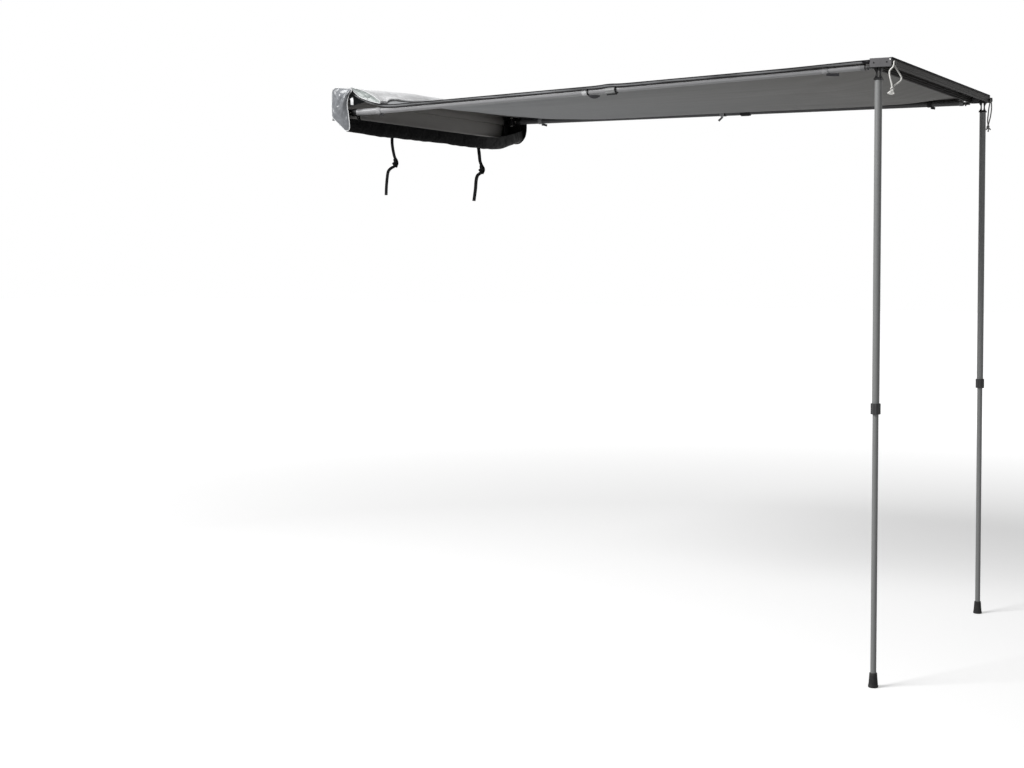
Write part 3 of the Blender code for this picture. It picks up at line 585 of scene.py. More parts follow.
def pouch_cloth(name):
    """Black floor of the bag: dull along most of it, and shiny and creased where it sags to the rear."""
    colour = (0.003, 0.003, 0.0032)
    finish = Finish(name, colour, 0.6)
    soft = finish.cloud(16.0, 4, 0.5, 0.8, at=finish.place((1.0, 1.6, 1.6)))
    grain = finish.cloud(CLOTH_GRAIN, 2)
    finish.bump(grain, 0.2, 0.0002)
    finish.bump(soft, 0.8, 0.010)
    finish.tones(soft, colour, 0.7, 1.5)
    worn = finish.spread(finish.along("X"), 0.20, 0.50, 0.0, 1.0)
    gloss = finish.maths("SUBTRACT", 0.66, finish.maths("MULTIPLY", worn, 0.26))
    finish.shade({"Roughness": gloss})
    return finish.shine(0.05).material


def webbing_finish(name, colour, uv=None, fuzzy=0.15, level=0.3):
    """Flat woven webbing: a twill across it and ribs along its edges."""
    finish = Finish(name, colour, 0.85).shine(level)
    vector = finish.place(uv=uv)
    ribs = finish.stripes(150.0, "DIAGONAL", vector)
    fine = finish.stripes(420.0, "Y", vector)
    height = finish.blend(ribs, 0.7, fine, 0.3)
    finish.bump(height, 0.6, 0.0005)
    fuzz = finish.cloud(60.0, 5)
    finish.tones(finish.maths("MULTIPLY", height, fuzz), colour, 0.7, 1.9)
    return finish.sheen(fuzzy).material


def braid_finish(name, colour, fleck):
    """Round braided cord: crossing strands along its own length."""
    finish = Finish(name, colour, 0.8)
    turns = [finish.place(turn=(0, 0, math.radians(angle)), uv="along") for angle in (35, -35)]
    strands = finish.maths("MAXIMUM", *(finish.stripes(BRAID, at=turn) for turn in turns))
    finish.bump(strands, 0.7, 0.0006)
    grime = finish.cloud(70.0, 4, at=finish.place(uv="along"))
    finish.tint(finish.maths("MULTIPLY", strands, finish.spread(grime, 0.3, 0.6, 0.75, 1.0)), fleck, colour)
    return finish.sheen(0.2).material


def make_finishes():
    return {
        "rail": grooved_metal("rail anodised", (0.036, 0.034, 0.033), 0.55),
        "case": drawn_metal("case anodised", (0.25, 0.24, 0.23), 0.45, "X", 0.4),
        "arm tube": drawn_metal("arm tube satin", (0.22, 0.22, 0.225), 0.36, "Y"),
        # Rear arm tubes: a darker copy of the arm tube finish, painted shade for the canopy's shadow on them
        "shaded rear arm tube": drawn_metal("shaded rear arm tube satin", (0.074, 0.074, 0.076), 0.42, "Y", level=0.15),
        "leg tube": drawn_metal("leg tube satin", (0.185, 0.188, 0.187), 0.38, "Z", level=0.25),
        "black plastic": moulded_plastic("black plastic", (0.006, 0.006, 0.0065), 0.5, 0.15),
        "lock black": moulded_plastic("leg lock grip", (0.040, 0.040, 0.041), 0.55, 0.2),
        # Front arm lock: a grey copy of the black lock plastic, painted light
        "lit lock plastic": moulded_plastic("lit grey lock grip", (0.20, 0.203, 0.203), 0.5),
        "tip grey": moulded_plastic("grey arm tip", (0.13, 0.13, 0.132), 0.5),
        "grey plastic": moulded_plastic("grey end plate", (0.068, 0.066, 0.070), 0.5),
        "white plastic": moulded_plastic("white bush", (0.72, 0.72, 0.70), 0.45),
        "black steel": powder_coat("black powder coat", (0.008, 0.008, 0.0085), 0.5),
        "zinc": plated_steel("zinc plated steel"),
        "rubber": rubber_finish("foot rubber"),
        "canvas": canvas_finish("canopy canvas", (0.205, 0.211, 0.218), (0.122, 0.119, 0.112)),
        "hem": hem_finish("canopy hem", (0.052, 0.053, 0.055)),
        "binding": webbing_finish("black binding", (0.006, 0.006, 0.007), fuzzy=0.02, level=0.12),
        "pouch": pouch_cloth("bag black"),
        "bag inside": coated_cloth("bag inside", (0.005, 0.005, 0.0055), 0.5, 0.8, 0.0, level=0.12),
        # Dark slate flap inside the bag's front end, also painted shade for that corner
        "lining": coated_cloth("slate shade lining", (0.022, 0.025, 0.027), 0.5, 0.8, 0.0, level=0.15),
        # Silver end panels: a dark colour spread from 0.3 to 3.2 times, painted reflections and shade on the
        # crinkles
        "bag silver": coated_cloth("bag silver", (0.063, 0.066, 0.071), 0.34, 1.4, 0.2, 3.2, 0.3,
                                   sizes=(9.0, 17.0)),
        "lid silver": coated_cloth("lid silver", (0.67, 0.675, 0.685), 0.42, 0.9, 0.1, 1.2, 0.7),
        "lid end": coated_cloth("lid end lining", (0.15, 0.165, 0.16), 0.45, 1.2, 0.1, 1.9, 0.4),
        "piping": webbing_finish("silver piping", (0.55, 0.56, 0.57)),
        "strap": webbing_finish("black strap", (0.005, 0.005, 0.0055), "along", 0.02, 0.12),
        "tie": webbing_finish("grey tie", (0.42, 0.425, 0.43)),
        "dull tie": webbing_finish("dull grey tie", (0.25, 0.25, 0.255)),
        "tie tail": webbing_finish("dark tie tail", (0.022, 0.022, 0.024), None, 0.05, 0.15),
        "white rope": braid_finish("white rope", (0.80, 0.79, 0.76), (0.55, 0.54, 0.52)),
        "grey rope": braid_finish("grey rope", (0.35, 0.35, 0.34), (0.16, 0.16, 0.16)),
    }


FINISHES = make_finishes()


# Guy ropes
ROPE_EYE = {end: Vector((side * (END_X - 10 * MM), LEAD_OUTER_Y - 5.8 * MM, TOP_Z - 19 * MM))
            for end, side in SIDES.items()}
ROPE_ROUTES = {
    "front": [(-1, 7, -78), (-4, 8, -66), (-8, 11, -50), (-11, 13, -36), (-12, 12, -25), (-10, 6, -17),
              (-8, 1, -9), (-7.3, 0, -4), (-7, 0, 0.5), (-5, 0, 5), (0, 0, 7), (5, 0, 5), (7, 0, 0.5),
              (7.3, 0, -4), (8, 0, -8.5), (10, -2.5, -16), (13, -9, -27), (17.5, -16, -40),
              (19, -18, -51), (14.5, -12, -61), (7, -1, -70), (1, 6.5, -78)],
    "rear": [(-2, 9, -101), (-2, 11, -82), (-1.5, 9, -56), (-4, 6, -32), (-7, 2, -15), (-7.3, 0, -5),
             (-7, 0, 0.5), (-5, 0, 5), (0, 0, 7), (5, 0, 5), (7, 0, 0.5), (7.4, 0, -5), (10, -1, -22),
             (12, 0, -42), (9, 3, -68), (5, 7, -88), (1, 9, -101)],
}
ROPE_RADIUS = {"front": 2.8 * MM, "rear": 2.5 * MM}
ROPE_TAILS = {"front": ((-5, 13, -21), (-3, 8, -24), (0, 2, -25), (2, -4, -23)),
              "rear": ((-4, 8, -18), (-1, 0, -27), (4, -8, -19), (2, 7, -7))}
KNOT_BELOW = 6 * MM
KNOT_STEPS = 42
KNOT_LOBE = 1.55
KNOT_DEPTH = 1.25
KNOT_SQUEEZE = 0.9


def knot_route(centre, size):
    """An overhand knot pulled up snug, as a closed trefoil flattened a little."""
    points = []
    for i in range(KNOT_STEPS):
        t = 2 * math.pi * (i + 0.5) / KNOT_STEPS
        x = math.sin(t) + KNOT_LOBE * math.sin(2 * t)
        z = math.cos(t) - KNOT_LOBE * math.cos(2 * t)
        y = -KNOT_DEPTH * math.sin(3 * t)
        points.append(centre + Vector((x * KNOT_SQUEEZE, y, z)) * size)
    points.append(points[0])
    return points


def make_rope(end):
    """Loop of cord through its eye, and the knot with its frayed tails that closes it."""
    route = [ROPE_EYE[end] + Vector(p) * MM for p in ROPE_ROUTES[end]]
    points = smooth_route(route, 5)
    radius = ROPE_RADIUS[end]
    rope = swept(points, round_section(radius))
    look = FINISHES["white rope" if end == "front" else "grey rope"]
    finished(rope, f"{end}_rope_cord", look, "leading_rail", 60)
    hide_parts(f"{end}_rope")

    middle = (route[0] + route[-1]) / 2
    knot_centre = middle - Vector((0, 0, KNOT_BELOW))
    knot = swept(knot_route(knot_centre, radius * 0.95), round_section(radius * 0.8), caps=False)
    tails = []
    for x, y, z in ROPE_TAILS[end]:
        start = knot_centre + Vector((x * 0.3, 0, -3)) * MM
        tip = middle + Vector((x, y, z)) * MM
        bend = start.lerp(tip, 0.5) + Vector((x * 0.2, -1, 0)) * MM
        tails.append(swept(smooth_route([start, bend, tip], 5), round_section(radius * 0.85),
                           swell=lambda t: 0.9 + 0.5 * t))
    take(knot, *tails)
    bpy.ops.object.join()
    finished(knot, f"{end}_rope_tied_knot", look, "leading_rail", 60)
    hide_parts(f"{end}_rope_knot")


# Straps under the bag
STRAP_X = {"front": -0.36, "rear": 0.34}
STRAP_ROUTES = {
    "front": [(0, 0, 1), (-4, -1, -16), (-4, -2, -38), (2, -3, -64), (11, -4, -88), (22, -7, -104),
              (18, -10, -118), (0, -9, -127), (-20, -5, -136), (-34, -2, -150), (-40, -1, -176),
              (-44, 0, -212), (-46, 0, -246)],
    "rear": [(0, 0, 1), (4, -1, -18), (8, -2, -42), (12, -3, -66), (22, -5, -84), (32, -9, -100),
             (22, -11, -115), (2, -8, -122), (-14, -4, -134), (-21, -2, -156), (-24, -1, -190),
             (-30, 0, -222), (-36, 0, -246)],
}
STRAP_RINGS = {"front": (17, -6, -110, 14, 17), "rear": (26, -6, -100, 20, 20)}
STRAP_WIDE = {"front": 12.5 * MM, "rear": 15 * MM}
STRAP_THICK = 3.2 * MM
FOLD_THICK = 3.4 * MM
RING_WIDE = 9.5 * MM
RING_DEEP = 7
WRAP_WIDE = 7.5 * MM


def make_strap(end):
    """Webbing folded in two that hangs from the pouch's floor, with a loose loop knotted in it."""
    top = Vector((STRAP_X[end], STRAP_TOP[0], STRAP_TOP[1]))
    points = smooth_route([top + Vector(p) * MM for p in STRAP_ROUTES[end]], 6)
    wide = STRAP_WIDE[end]
    strap = swept(points, flat_section(wide, STRAP_THICK), start_side=(1, 0, 0),
                  twist=lambda t: 25 + 50 * math.sin(math.pi * min(1, t * 1.7)) + 25 * t)
    finished(strap, f"{end}_hanging_strap", FINISHES["strap"], "case", 60)
    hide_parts(f"{end}_strap")
    x, y, z, out, high = STRAP_RINGS[end]
    centre = top + Vector((x, y, z)) * MM
    loop = swept(ring_route(centre, out, RING_DEEP, high, 48, 0.7), flat_section(RING_WIDE, FOLD_THICK),
                 caps=False, twist=lambda t: 40 * math.sin(2 * math.pi * t))
    wrap_centre = centre + Vector((-out * 0.75, 0, -high * 0.45)) * MM
    wrap = swept(knot_route(wrap_centre, FOLD_THICK), flat_section(WRAP_WIDE, FOLD_THICK), caps=False)
    take(loop, wrap)
    bpy.ops.object.join()
    finished(loop, f"{end}_strap_loose_knot", FINISHES["strap"], "case", 60)


# Canopy
CANOPY_LIFT = 15.4 * MM
CANOPY_SAG = 38 * MM
CANOPY_FLAT_X = 650 * MM
CANOPY_BACK_Y = -0.0695
CANOPY_RAIL_Y = -2.1585
CANOPY_CLOTH = 0.9 * MM
CANOPY_ROWS = 170
CANOPY_COLUMNS = 96
CASE_RUN_SIDE = 220
CASE_RUN_MORE = 440
RAIL_RUN = 380 * MM
LOCK_LIFT = 3 * MM
CORNER_PULL = 1.6 * MM
LONG_FOLD = 1.4 * MM
FINE_FOLD = 0.6 * MM
HEM_SECTION = ((-0.75, 4.0), (-0.75, 6.5), (-0.4, 7.5), (0.1, 7.5), (0.3, 6.5), (0.3, 4), (0.3, 2),
               (0.2, 0.7))
BINDING_SECTION = ((-9, 0.55), (-9, 1.05), (1.1, 1.15), (1.8, 0.4), (1.85, -2.4), (1.3, -2.4), (1.2, -0.1),
                   (0.6, 0.55))
HEM_BAND_SECTION = ((1.0, -2.5), (1.5, -2.5), (1.6, -6.9), (1.1, -8.4), (-1.3, -8.4), (-1.3, -8.0),
                    (0.7, -8.0), (1.0, -6.9))
EDGE_STEPS = 260
BEAD_R = 1.9 * MM


def canopy_height(x, y):
    """Middle of the cloth: level with the two tracks, held up by the arms, and low between them."""
    track_z = TOP_Z - TRACK_DROP
    far = (SWING_Y - y) / (SWING_Y - PEG_Y)
    levels = [ARM_LEVEL[end] + (TIP_LEVEL[end] - ARM_LEVEL[end]) * far for end in SIDES]
    share = clamp((x + CANOPY_FLAT_X) / (2 * CANOPY_FLAT_X))
    over_arms = levels[0] + (levels[1] - levels[0]) * share + CANOPY_LIFT
    across = max(1 - abs(x / CANOPY_FLAT_X) ** 5, 0)
    case_run = (CASE_RUN_SIDE + CASE_RUN_MORE * math.sqrt(across)) * MM
    from_case = clamp((-BACK_DEPTH - y) / case_run)
    from_rail = clamp((y - LEAD_INNER_Y) / RAIL_RUN)
    drop = (1 - (1 - from_case) ** 2.15) * (1 - (1 - from_rail) ** 2.8)
    over_lock = LOCK_LIFT * math.exp(-((y - LOCK_Y) / 0.034) ** 2 - ((abs(x) - ARM_X) / 0.05) ** 2)
    return track_z + (over_arms - CANOPY_SAG * across - track_z) * drop + over_lock


def canopy_folds(x, y):
    """Small waves: creases that run from the corners, and long shallow ones between the rails."""
    share = (CANOPY_BACK_Y - y) / (CANOPY_BACK_Y - CANOPY_RAIL_Y)
    aside = x / CANOPY_HALF
    held = min(1, 12 * share, 12 * (1 - share)) * min(1, (1 - abs(aside)) * 8)
    pull = 0
    for corner_x in (-1, 1):
        for corner_y in (0, 1):
            out, up = (aside - corner_x) * 0.7, (share - corner_y) * 2.1
            reach = math.hypot(out, up)
            fade = min(1, reach * 3) * max(0, 1 - reach / 1.3)
            pull += CORNER_PULL * fade * math.sin(math.atan2(up, out) * 15 + corner_x + 2 * corner_y)
    long = LONG_FOLD * noise.noise(Vector((x * 8, y * 1.7, 0.4)))
    fine = FINE_FOLD * noise.noise(Vector((x * 24 + y * 2, y * 3.0, 5.1)))
    return held * (pull + long + fine)


def squash_along(piece):
    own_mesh(piece)


def make_canopy():
    """One sheet from the case's track to the leading rail's track, with doubled side hems."""
    verts = []
    for row in range(CANOPY_ROWS + 1):
        y = CANOPY_BACK_Y + (CANOPY_RAIL_Y - CANOPY_BACK_Y) * row / CANOPY_ROWS
        in_track = y > -BACK_DEPTH or y < LEAD_INNER_Y
        depth = 0.08 if in_track else 1
        edge = {side: canopy_height(side * CANOPY_HALF, y) for side in (-1, 1)}
        near = [(-CANOPY_HALF - u * MM, y, edge[-1] - v * MM * depth) for u, v in HEM_SECTION]
        far = [(CANOPY_HALF + u * MM, y, edge[1] - v * MM * depth) for u, v in reversed(HEM_SECTION)]
        middle = []
        for column in range(CANOPY_COLUMNS + 1):
            x = CANOPY_HALF * (2 * column / CANOPY_COLUMNS - 1)
            middle.append((x, y, canopy_height(x, y) + canopy_folds(x, y)))
        verts += near + middle + far
    width = CANOPY_COLUMNS + 1 + 2 * len(HEM_SECTION)
    canopy = mesh_piece(verts, grid_faces(CANOPY_ROWS + 1, width))
    wall(canopy, CANOPY_CLOTH)
    apply_all(canopy)
    finished(canopy, "canopy_cloth", FINISHES["canvas"], "case", 50)
    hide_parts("canopy")
    squash_along(canopy)


def side_strip(name, side, section, look):
    """A strip that follows the canopy's side edge, with its own section of (out, up) points."""
    low, high = -BACK_DEPTH - 1 * MM, LEAD_INNER_Y + 1 * MM
    verts = []
    for step in range(EDGE_STEPS + 1):
        y = low + (high - low) * step / EDGE_STEPS
        edge = Vector((side * CANOPY_HALF, y, canopy_height(side * CANOPY_HALF, y)))
        verts += [edge + Vector((side * u, 0, v)) * MM for u, v in section]
    strip = mesh_piece(verts, tube_faces(EDGE_STEPS + 1, len(section)), closed=True)
    finished(strip, name, FINISHES[look], "case", 50)
    squash_along(strip)


def make_canopy_edges():
    """Black binding folded over each side edge, and the streaked hem band below it."""
    for end, side in SIDES.items():
        side_strip(f"{end}_edge_binding", side, BINDING_SECTION, "binding")
        side_strip(f"{end}_hem_band", side, HEM_BAND_SECTION, "hem")


def make_beads():
    """Beads sewn in the cloth's ends, which hold it in the two tracks."""
    inset = CANOPY_HALF - 2 * MM
    for name, y, body in (("back_track_bead", -BACK_DEPTH + TRACK_DROP, "case"),
                          ("front_track_bead", LEAD_INNER_Y - TRACK_DROP, "leading_rail")):
        points = [Vector((-inset + 2 * inset * i / 8, y, TOP_Z - TRACK_DROP)) for i in range(9)]
        bead = swept(points, round_section(BEAD_R))
        finished(bead, name, FINISHES["binding"], body, 60)


# Cover bag
PANEL_OUTLINE = {
    "front": [(-2, -34), (-5, -50), (-18, -64), (-44, -86), (-62, -102), (-72, -106), (-82, -103), (-86, -90),
              (-80, -40), (-74, 0), (-82, 33), (-93, 47), (-94, 53), (-88, 57), (-60, 60.5), (-40, 62.5),
              (-22, 64), (-12, 61), (-5, 54), (-2, 42), (-1.5, 0)],
    "rear": [(-2, -34), (-6, -50), (-18, -61), (-44, -66), (-62, -65), (-74, -60), (-85, -50), (-96, -34),
             (-102, -10), (-103, 14), (-102, 32), (-98, 46), (-94, 53), (-86, 57), (-60, 60.5), (-40, 62.5),
             (-22, 63), (-12, 60), (-5, 53), (-2, 42), (-1.5, 0)],
}
PANEL_RINGS = 22
PANEL_PUFF = 7
PANEL_CRUMPLE = 1.5
BAG_COLUMNS = 170
BAG_CLOTH = 1.6 * MM
END_CLOTH = 1.2 * MM
PANEL_PIPING_R = 1.8 * MM
LID_PIPING_R = 1.6 * MM
PIPING_OUT = 0.4 * MM


def outward(piece, side):
    """Turn a side wall's faces to look away from the awning's middle."""
    if sum(face.normal.x * side for face in piece.data.polygons) < 0:
        piece.data.flip_normals()


def crumpled(y, z, seed):
    """Sharp folded facets, as in stiff coated cloth."""
    coarse = abs(noise.noise(Vector((y * 24, z * 15, seed))))
    fine = abs(noise.noise(Vector((y * 58 + 5, z * 36, seed + 3))))
    return 7.5 * coarse + 3.2 * fine


def make_piping(name, x, loop, radius, look):
    """Round cord sewn in along an outline."""
    points = [Vector((x, p.x, p.y)) for p in loop + loop[:1]]
    piping = swept(points, round_section(radius, 8), caps=False, start_side=(1, 0, 0))
    finished(piping, name, look, "case", 60)


def make_end_panel(end, side):
    """Soft end wall of the bag: silver outside, black inside, puffed and crumpled."""
    loop = smooth_loop([(y * MM, z * MM) for y, z in PANEL_OUTLINE[end]], 4)
    centre = Vector((-0.044, 0.000))
    verts = []
    for ring in range(PANEL_RINGS + 1):
        share = ring / PANEL_RINGS
        for point in loop:
            flat = centre.lerp(point, share)
            creases = PANEL_CRUMPLE * crumpled(flat.x, flat.y, side * 3.0) * (1 - share ** 8)
            puff = PANEL_PUFF * (1 - share ** 3) + creases
            verts.append((side * (BAG_HALF + puff * MM), flat.x, flat.y))
    name = f"{end}_bag_end"
    panel = mesh_piece(verts, grid_faces(PANEL_RINGS + 1, len(loop), wrap=True))
    rounder(panel)
    apply_all(panel)
    face_out(panel)
    outward(panel, side)
    skin = panel.modifiers.new("skin", "SOLIDIFY")
    skin.thickness = BAG_CLOTH
    skin.offset = -1
    skin.material_offset = 1
    looks = [FINISHES["bag silver"], FINISHES["bag inside"]]
    for look in looks:
        panel.data.materials.append(look)
    apply_all(panel)
    inner = [face.material_index for face in panel.data.polygons]
    finished(panel, name, looks, "case", 60)
    for face, index in zip(panel.data.polygons, inner):
        face.material_index = index
    # The rear panel's piping is black where the front one is silver: painted shade on the bag's rear end
    look = FINISHES["piping" if end == "front" else "binding"]
    make_piping(f"{end}_bag_piping", side * (BAG_HALF + PIPING_OUT), loop, PANEL_PIPING_R, look)


POUCH_SECTION = [(-2, -61.8), (-12, -62.0), (-22, -63), (-33, -73), (-44, -85), (-56, -97), (-66, -105),
                 (-75, -108.5), (-82, -105), (-85, -96), (-85, -84), (-84, -70), (-83, -58)]
POUCH_SLACK = 4
POUCH_WRINKLE = 2.6
REAR_WRINKLE = 3.4
POUCH_GATHER = 1.4
POUCH_LIP = 2.2
POUCH_RISE = [(0.36, 0), (0.46, 5), (0.533, 15), (0.611, 30), (0.678, 46), (0.708, 58)]


def pouch_rise(x):
    """How far the pouch is drawn up towards its rear end, in millimetres."""
    for (from_x, from_rise), (to_x, to_rise) in zip(POUCH_RISE, POUCH_RISE[1:]):
        if from_x <= x <= to_x:
            return from_rise + (to_rise - from_rise) * (x - from_x) / (to_x - from_x)
    return 0 if x < POUCH_RISE[0][0] else POUCH_RISE[-1][1]


def make_pouch():
    """Floor and front lip of the bag, slack between its ends and drawn up at the rear one."""
    section = smooth_route([(y * MM, z * MM) for y, z in POUCH_SECTION], 3)
    verts = []
    for index, point in enumerate(section):
        down = index / (len(section) - 1)
        for column in range(BAG_COLUMNS + 1):
            share = column / BAG_COLUMNS
            x = -BAG_HALF + 2 * BAG_HALF * share
            near_end = min(1, 6 * min(share, 1 - share))
            slack = math.sin(math.pi * down) * near_end
            z_drop = POUCH_SLACK * slack * (0.6 + 0.4 * math.sin(share * 9))
            at_rear = clamp((share - 0.72) / 0.2)
            wrinkle = (POUCH_WRINKLE + REAR_WRINKLE * at_rear) * slack
            wrinkle *= noise.noise(Vector((x * 9, point.x * 22, point.y * 12)))
            gather = POUCH_GATHER * slack * math.sin(x * 70 + 8 * noise.noise(Vector((x * 4, 0, 2))))
            lip = POUCH_LIP * noise.noise(Vector((x * 7, 4, 1))) * max(0, down - 0.8) * 5 * near_end
            outer = eased((-22 - point.x / MM) / 44)
            rise = pouch_rise(x) * outer
            y = point.x + (lip - wrinkle * 0.5 - 0.3 * rise * max(0, down - 0.6)) * MM
            z = point.y + (wrinkle + gather * 0.5 - z_drop + rise) * MM
            verts.append((x, y, min(z, -61.8 * MM) if y > -75 * MM else z))
    pouch = mesh_piece(verts, grid_faces(len(section), BAG_COLUMNS + 1))
    wall(pouch, BAG_CLOTH)
    apply_all(pouch)
    finished(pouch, "bag_pouch_cloth", FINISHES["pouch"], "case", 60)
    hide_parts("bag_pouch")
    return pouch


LID_FRONT = [(-3, 61.8), (-30, 62.2), (-60, 62.6), (-85, 61.5), (-110, 58), (-147, 47.5), (-185, 29),
             (-212, 11)]
LID_MIDDLE = [(-3, 61.8), (-30, 63.5), (-58, 68), (-85, 72), (-112, 72), (-147, 66), (-174, 57), (-192, 45)]
LID_SLOPE_RUN = 0.42
LID_WAVE = 3.0
LID_CREASE = 2.2
LID_PUSH = 5.0
LID_ABOVE_CANOPY = 9
FOLD_OVER_CANOPY = 2.4 * MM
LID_END_RINGS = 12


def lid_section(x):
    """Points of the lid at one place along it: out over the canopy, and folded back under itself."""
    share = eased((x + END_X) / LID_SLOPE_RUN)
    top = []
    for (front_y, front_z), (middle_y, middle_z) in zip(LID_FRONT, LID_MIDDLE):
        y = front_y + (middle_y - front_y) * share
        least = canopy_height(x, y * MM) / MM + LID_ABOVE_CANOPY if y < -BACK_DEPTH / MM else 0
        top.append((y, max(front_z + (middle_z - front_z) * share, least)))
    fold_y = top[-1][0] - 8
    under_y = [fold_y - 1, fold_y + 6, fold_y + 22, fold_y + 44, fold_y + 70, fold_y + 96]
    under = [(y, (canopy_height(x, y * MM) + FOLD_OVER_CANOPY) / MM) for y in under_y if y < -76]
    middle = (fold_y - 2, (top[-1][1] + under[0][1]) / 2)
    return top + [middle] + under


def make_lid():
    """Lid laid out over the canopy and folded under, slack and creased; its ends are closed by make_lid_end.
    """
    counts = len(smooth_route([(*p, 0) for p in lid_section(0)], 4))
    verts = []
    for column in range(BAG_COLUMNS + 1):
        x = -END_X + 2 * END_X * column / BAG_COLUMNS
        section = smooth_route([(y, z, 0) for y, z in lid_section(x)], 4)
        section = [section[round(i * (len(section) - 1) / (counts - 1))] for i in range(counts)]
        for index, point in enumerate(section):
            upper = clamp(1 - abs(index / counts - 0.42) / 0.3)
            wave = LID_WAVE * noise.noise(Vector((x * 7, point.x * 0.02, 7)))
            crease = LID_CREASE * abs(noise.noise(Vector((x * 17, point.x * 0.05, 3))))
            push = LID_PUSH * noise.noise(Vector((x * 5, 2, 9)))
            verts.append((x, (point.x + push * upper) * MM, (point.y + (wave + crease) * upper) * MM))
    lid = mesh_piece(verts, grid_faces(BAG_COLUMNS + 1, counts))
    top_faces = [face for face in lid.data.polygons if face.center.y > -0.12 and face.center.z > 0.058]
    if sum(face.normal.z for face in top_faces) < 0:
        lid.data.flip_normals()
    wall(lid, BAG_CLOTH)
    apply_all(lid)
    finished(lid, "bag_lid_cloth", FINISHES["lid silver"], "case", 60)
    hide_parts("bag_lid")
    return lid


def make_lid_end(end, side):
    """Crumpled end wall of the folded lid, and the piping round it."""
    x = side * (END_X - 2 * MM)
    loop = smooth_loop([(y, z) for y, z in lid_section(side * END_X) if y < -60], 4)
    centre = sum((Vector(p) for p in loop), Vector((0, 0))) / len(loop)
    verts = []
    for ring in range(LID_END_RINGS + 1):
        share = ring / LID_END_RINGS
        inner = 1 - share ** 3
        for point in loop:
            flat = centre.lerp(point, share * 0.985)
            dent = (2.5 + crumpled(flat.x * MM, flat.y * MM, side * 5.0)) * inner
            verts.append((x - side * (dent - 3.0) * MM * inner, flat.x * MM, flat.y * MM))
    name = f"{end}_lid_end"
    cap = mesh_piece(verts, grid_faces(LID_END_RINGS + 1, len(loop), wrap=True))
    outward(cap, side)
    wall(cap, END_CLOTH)
    apply_all(cap)
    finished(cap, name, FINISHES["lid end"], "case", 60)
    edge = [Vector((p.x * MM, p.y * MM)) for p in loop]
    make_piping(f"{end}_lid_piping", side * (END_X + PIPING_OUT), edge, LID_PIPING_R, FINISHES["piping"])


PULL_ROUTE = [(-0.7090, -0.0945, 0.0200), (-0.7115, -0.0985, 0.0150), (-0.7125, -0.1000, 0.0050),
              (-0.7115, -0.0990, -0.0060)]
LOOP_CENTRE = Vector((-0.657, -0.0925, -0.050))
LINING_START = -0.697
LINING_Y = -0.0742
LINING_TOP = 0.050
LINING_LOW = -0.012
LINING_SLANT = 0.030
LINING_FLAT = (0.115, 0.062)


def make_front_pull():
    """Pale pull and black webbing loop at the bag's front corner."""
    pull = swept(smooth_route(PULL_ROUTE, 5), flat_section(12 * MM, 2.6 * MM))
    finished(pull, "front_bag_pull", FINISHES["piping"], "case", 60)
    ring = ring_route(LOOP_CENTRE, 7, 5, 12, 36)
    loop = swept(ring, flat_section(6 * MM, 2.2 * MM), caps=False)
    finished(loop, "front_bag_loop", FINISHES["strap"], "case", 60)


def make_lining():
    """Flap of dark slate cloth that hangs inside the bag's front end; its darkness also stands in for the
    shade there, as painted shade.
    """
    rows, columns = 9, 20
    verts = []
    for row in range(rows + 1):
        down = row / rows
        for column in range(columns + 1):
            share = column / columns
            x = LINING_START + LINING_FLAT[0] * share
            low = LINING_LOW + LINING_SLANT * share
            ripple = 1.5 * down * noise.noise(Vector((x * 60, down * 2, 6)))
            verts.append((x, LINING_Y - abs(ripple) * MM, LINING_TOP + (low - LINING_TOP) * down))
    lining = mesh_piece(verts, grid_faces(rows + 1, columns + 1))
    wall(lining, END_CLOTH)
    apply_all(lining)
    finished(lining, "front_shade_lining", FINISHES["lining"], "case", 60)


def make_bag():
    pouch = make_pouch()
    lid = make_lid()
    for end, side in SIDES.items():
        make_end_panel(end, side)
        make_lid_end(end, side)


# Ties and locks on the arms
TIE_WIDTH = 20 * MM
TIE_PLACES = {"inner": (1.037, ARM_TUBE_R), "outer": (0.135, ARM_SLIDE_R), "case": (1.932, ARM_TUBE_R)}
TIE_LOOKS = {("front", "inner"): ("tie", "tie tail"), ("rear", "inner"): ("dull tie", "dull tie"),
             ("rear", "outer"): ("tie tail", "tie tail")}
TIE_TAILS = {
    ("front", "inner"): ((5, -2, 14), (5, -6, 25), (4, -8, 36), (3, -8, 47), (2, -7, 58)),
    ("front", "outer"): ((5, -3, 3), (5, -5, 14), (4, -6.5, 30), (3, -7.5, 46)),
    ("rear", "inner"): ((4, -2, -2), (4, -8, -8), (3, -14, -14), (2, -20, -20)),
    ("rear", "outer"): ((5, -3, 2), (5, -4, 9), (4, -5, 15), (4, -6, 20)),
    ("front", "case"): ((5, -3, 2), (5, -4, 8), (4, -5, 14), (4, -6, 19)),
    ("rear", "case"): ((5, -3, 2), (5, -4, 10), (4, -6, 20), (4, -9, 30)),
}
BAND_THICK = 1.1 * MM
TAIL_WIDE = 10 * MM
TAIL_THICK = 1.3 * MM
RIM_WIDE = 5 * MM
RIM_THICK = 1.4 * MM
RIM_ASIDE = 12.6 * MM
BAND_STEPS = 56
RIM_STEPS = 48
COLLAR_FROM_TIP = 0.9129
COLLAR_R = 15.9 * MM
COLLAR_LONG = 5 * MM
COLLAR_WALL = 4.3 * MM
THUMB_BAR_FROM_TIP = 0.9337
THUMB_BAR_LOW = (-5 * MM, -19.5 * MM, -17 * MM)
THUMB_BAR_HIGH = (5 * MM, -15.5 * MM, 21 * MM)
SLEEVE_FROM_TIP = 2.0465
SLEEVE_R = 14.2 * MM
SLEEVE_LONG = 22 * MM
SLEEVE_WALL = 1.4 * MM


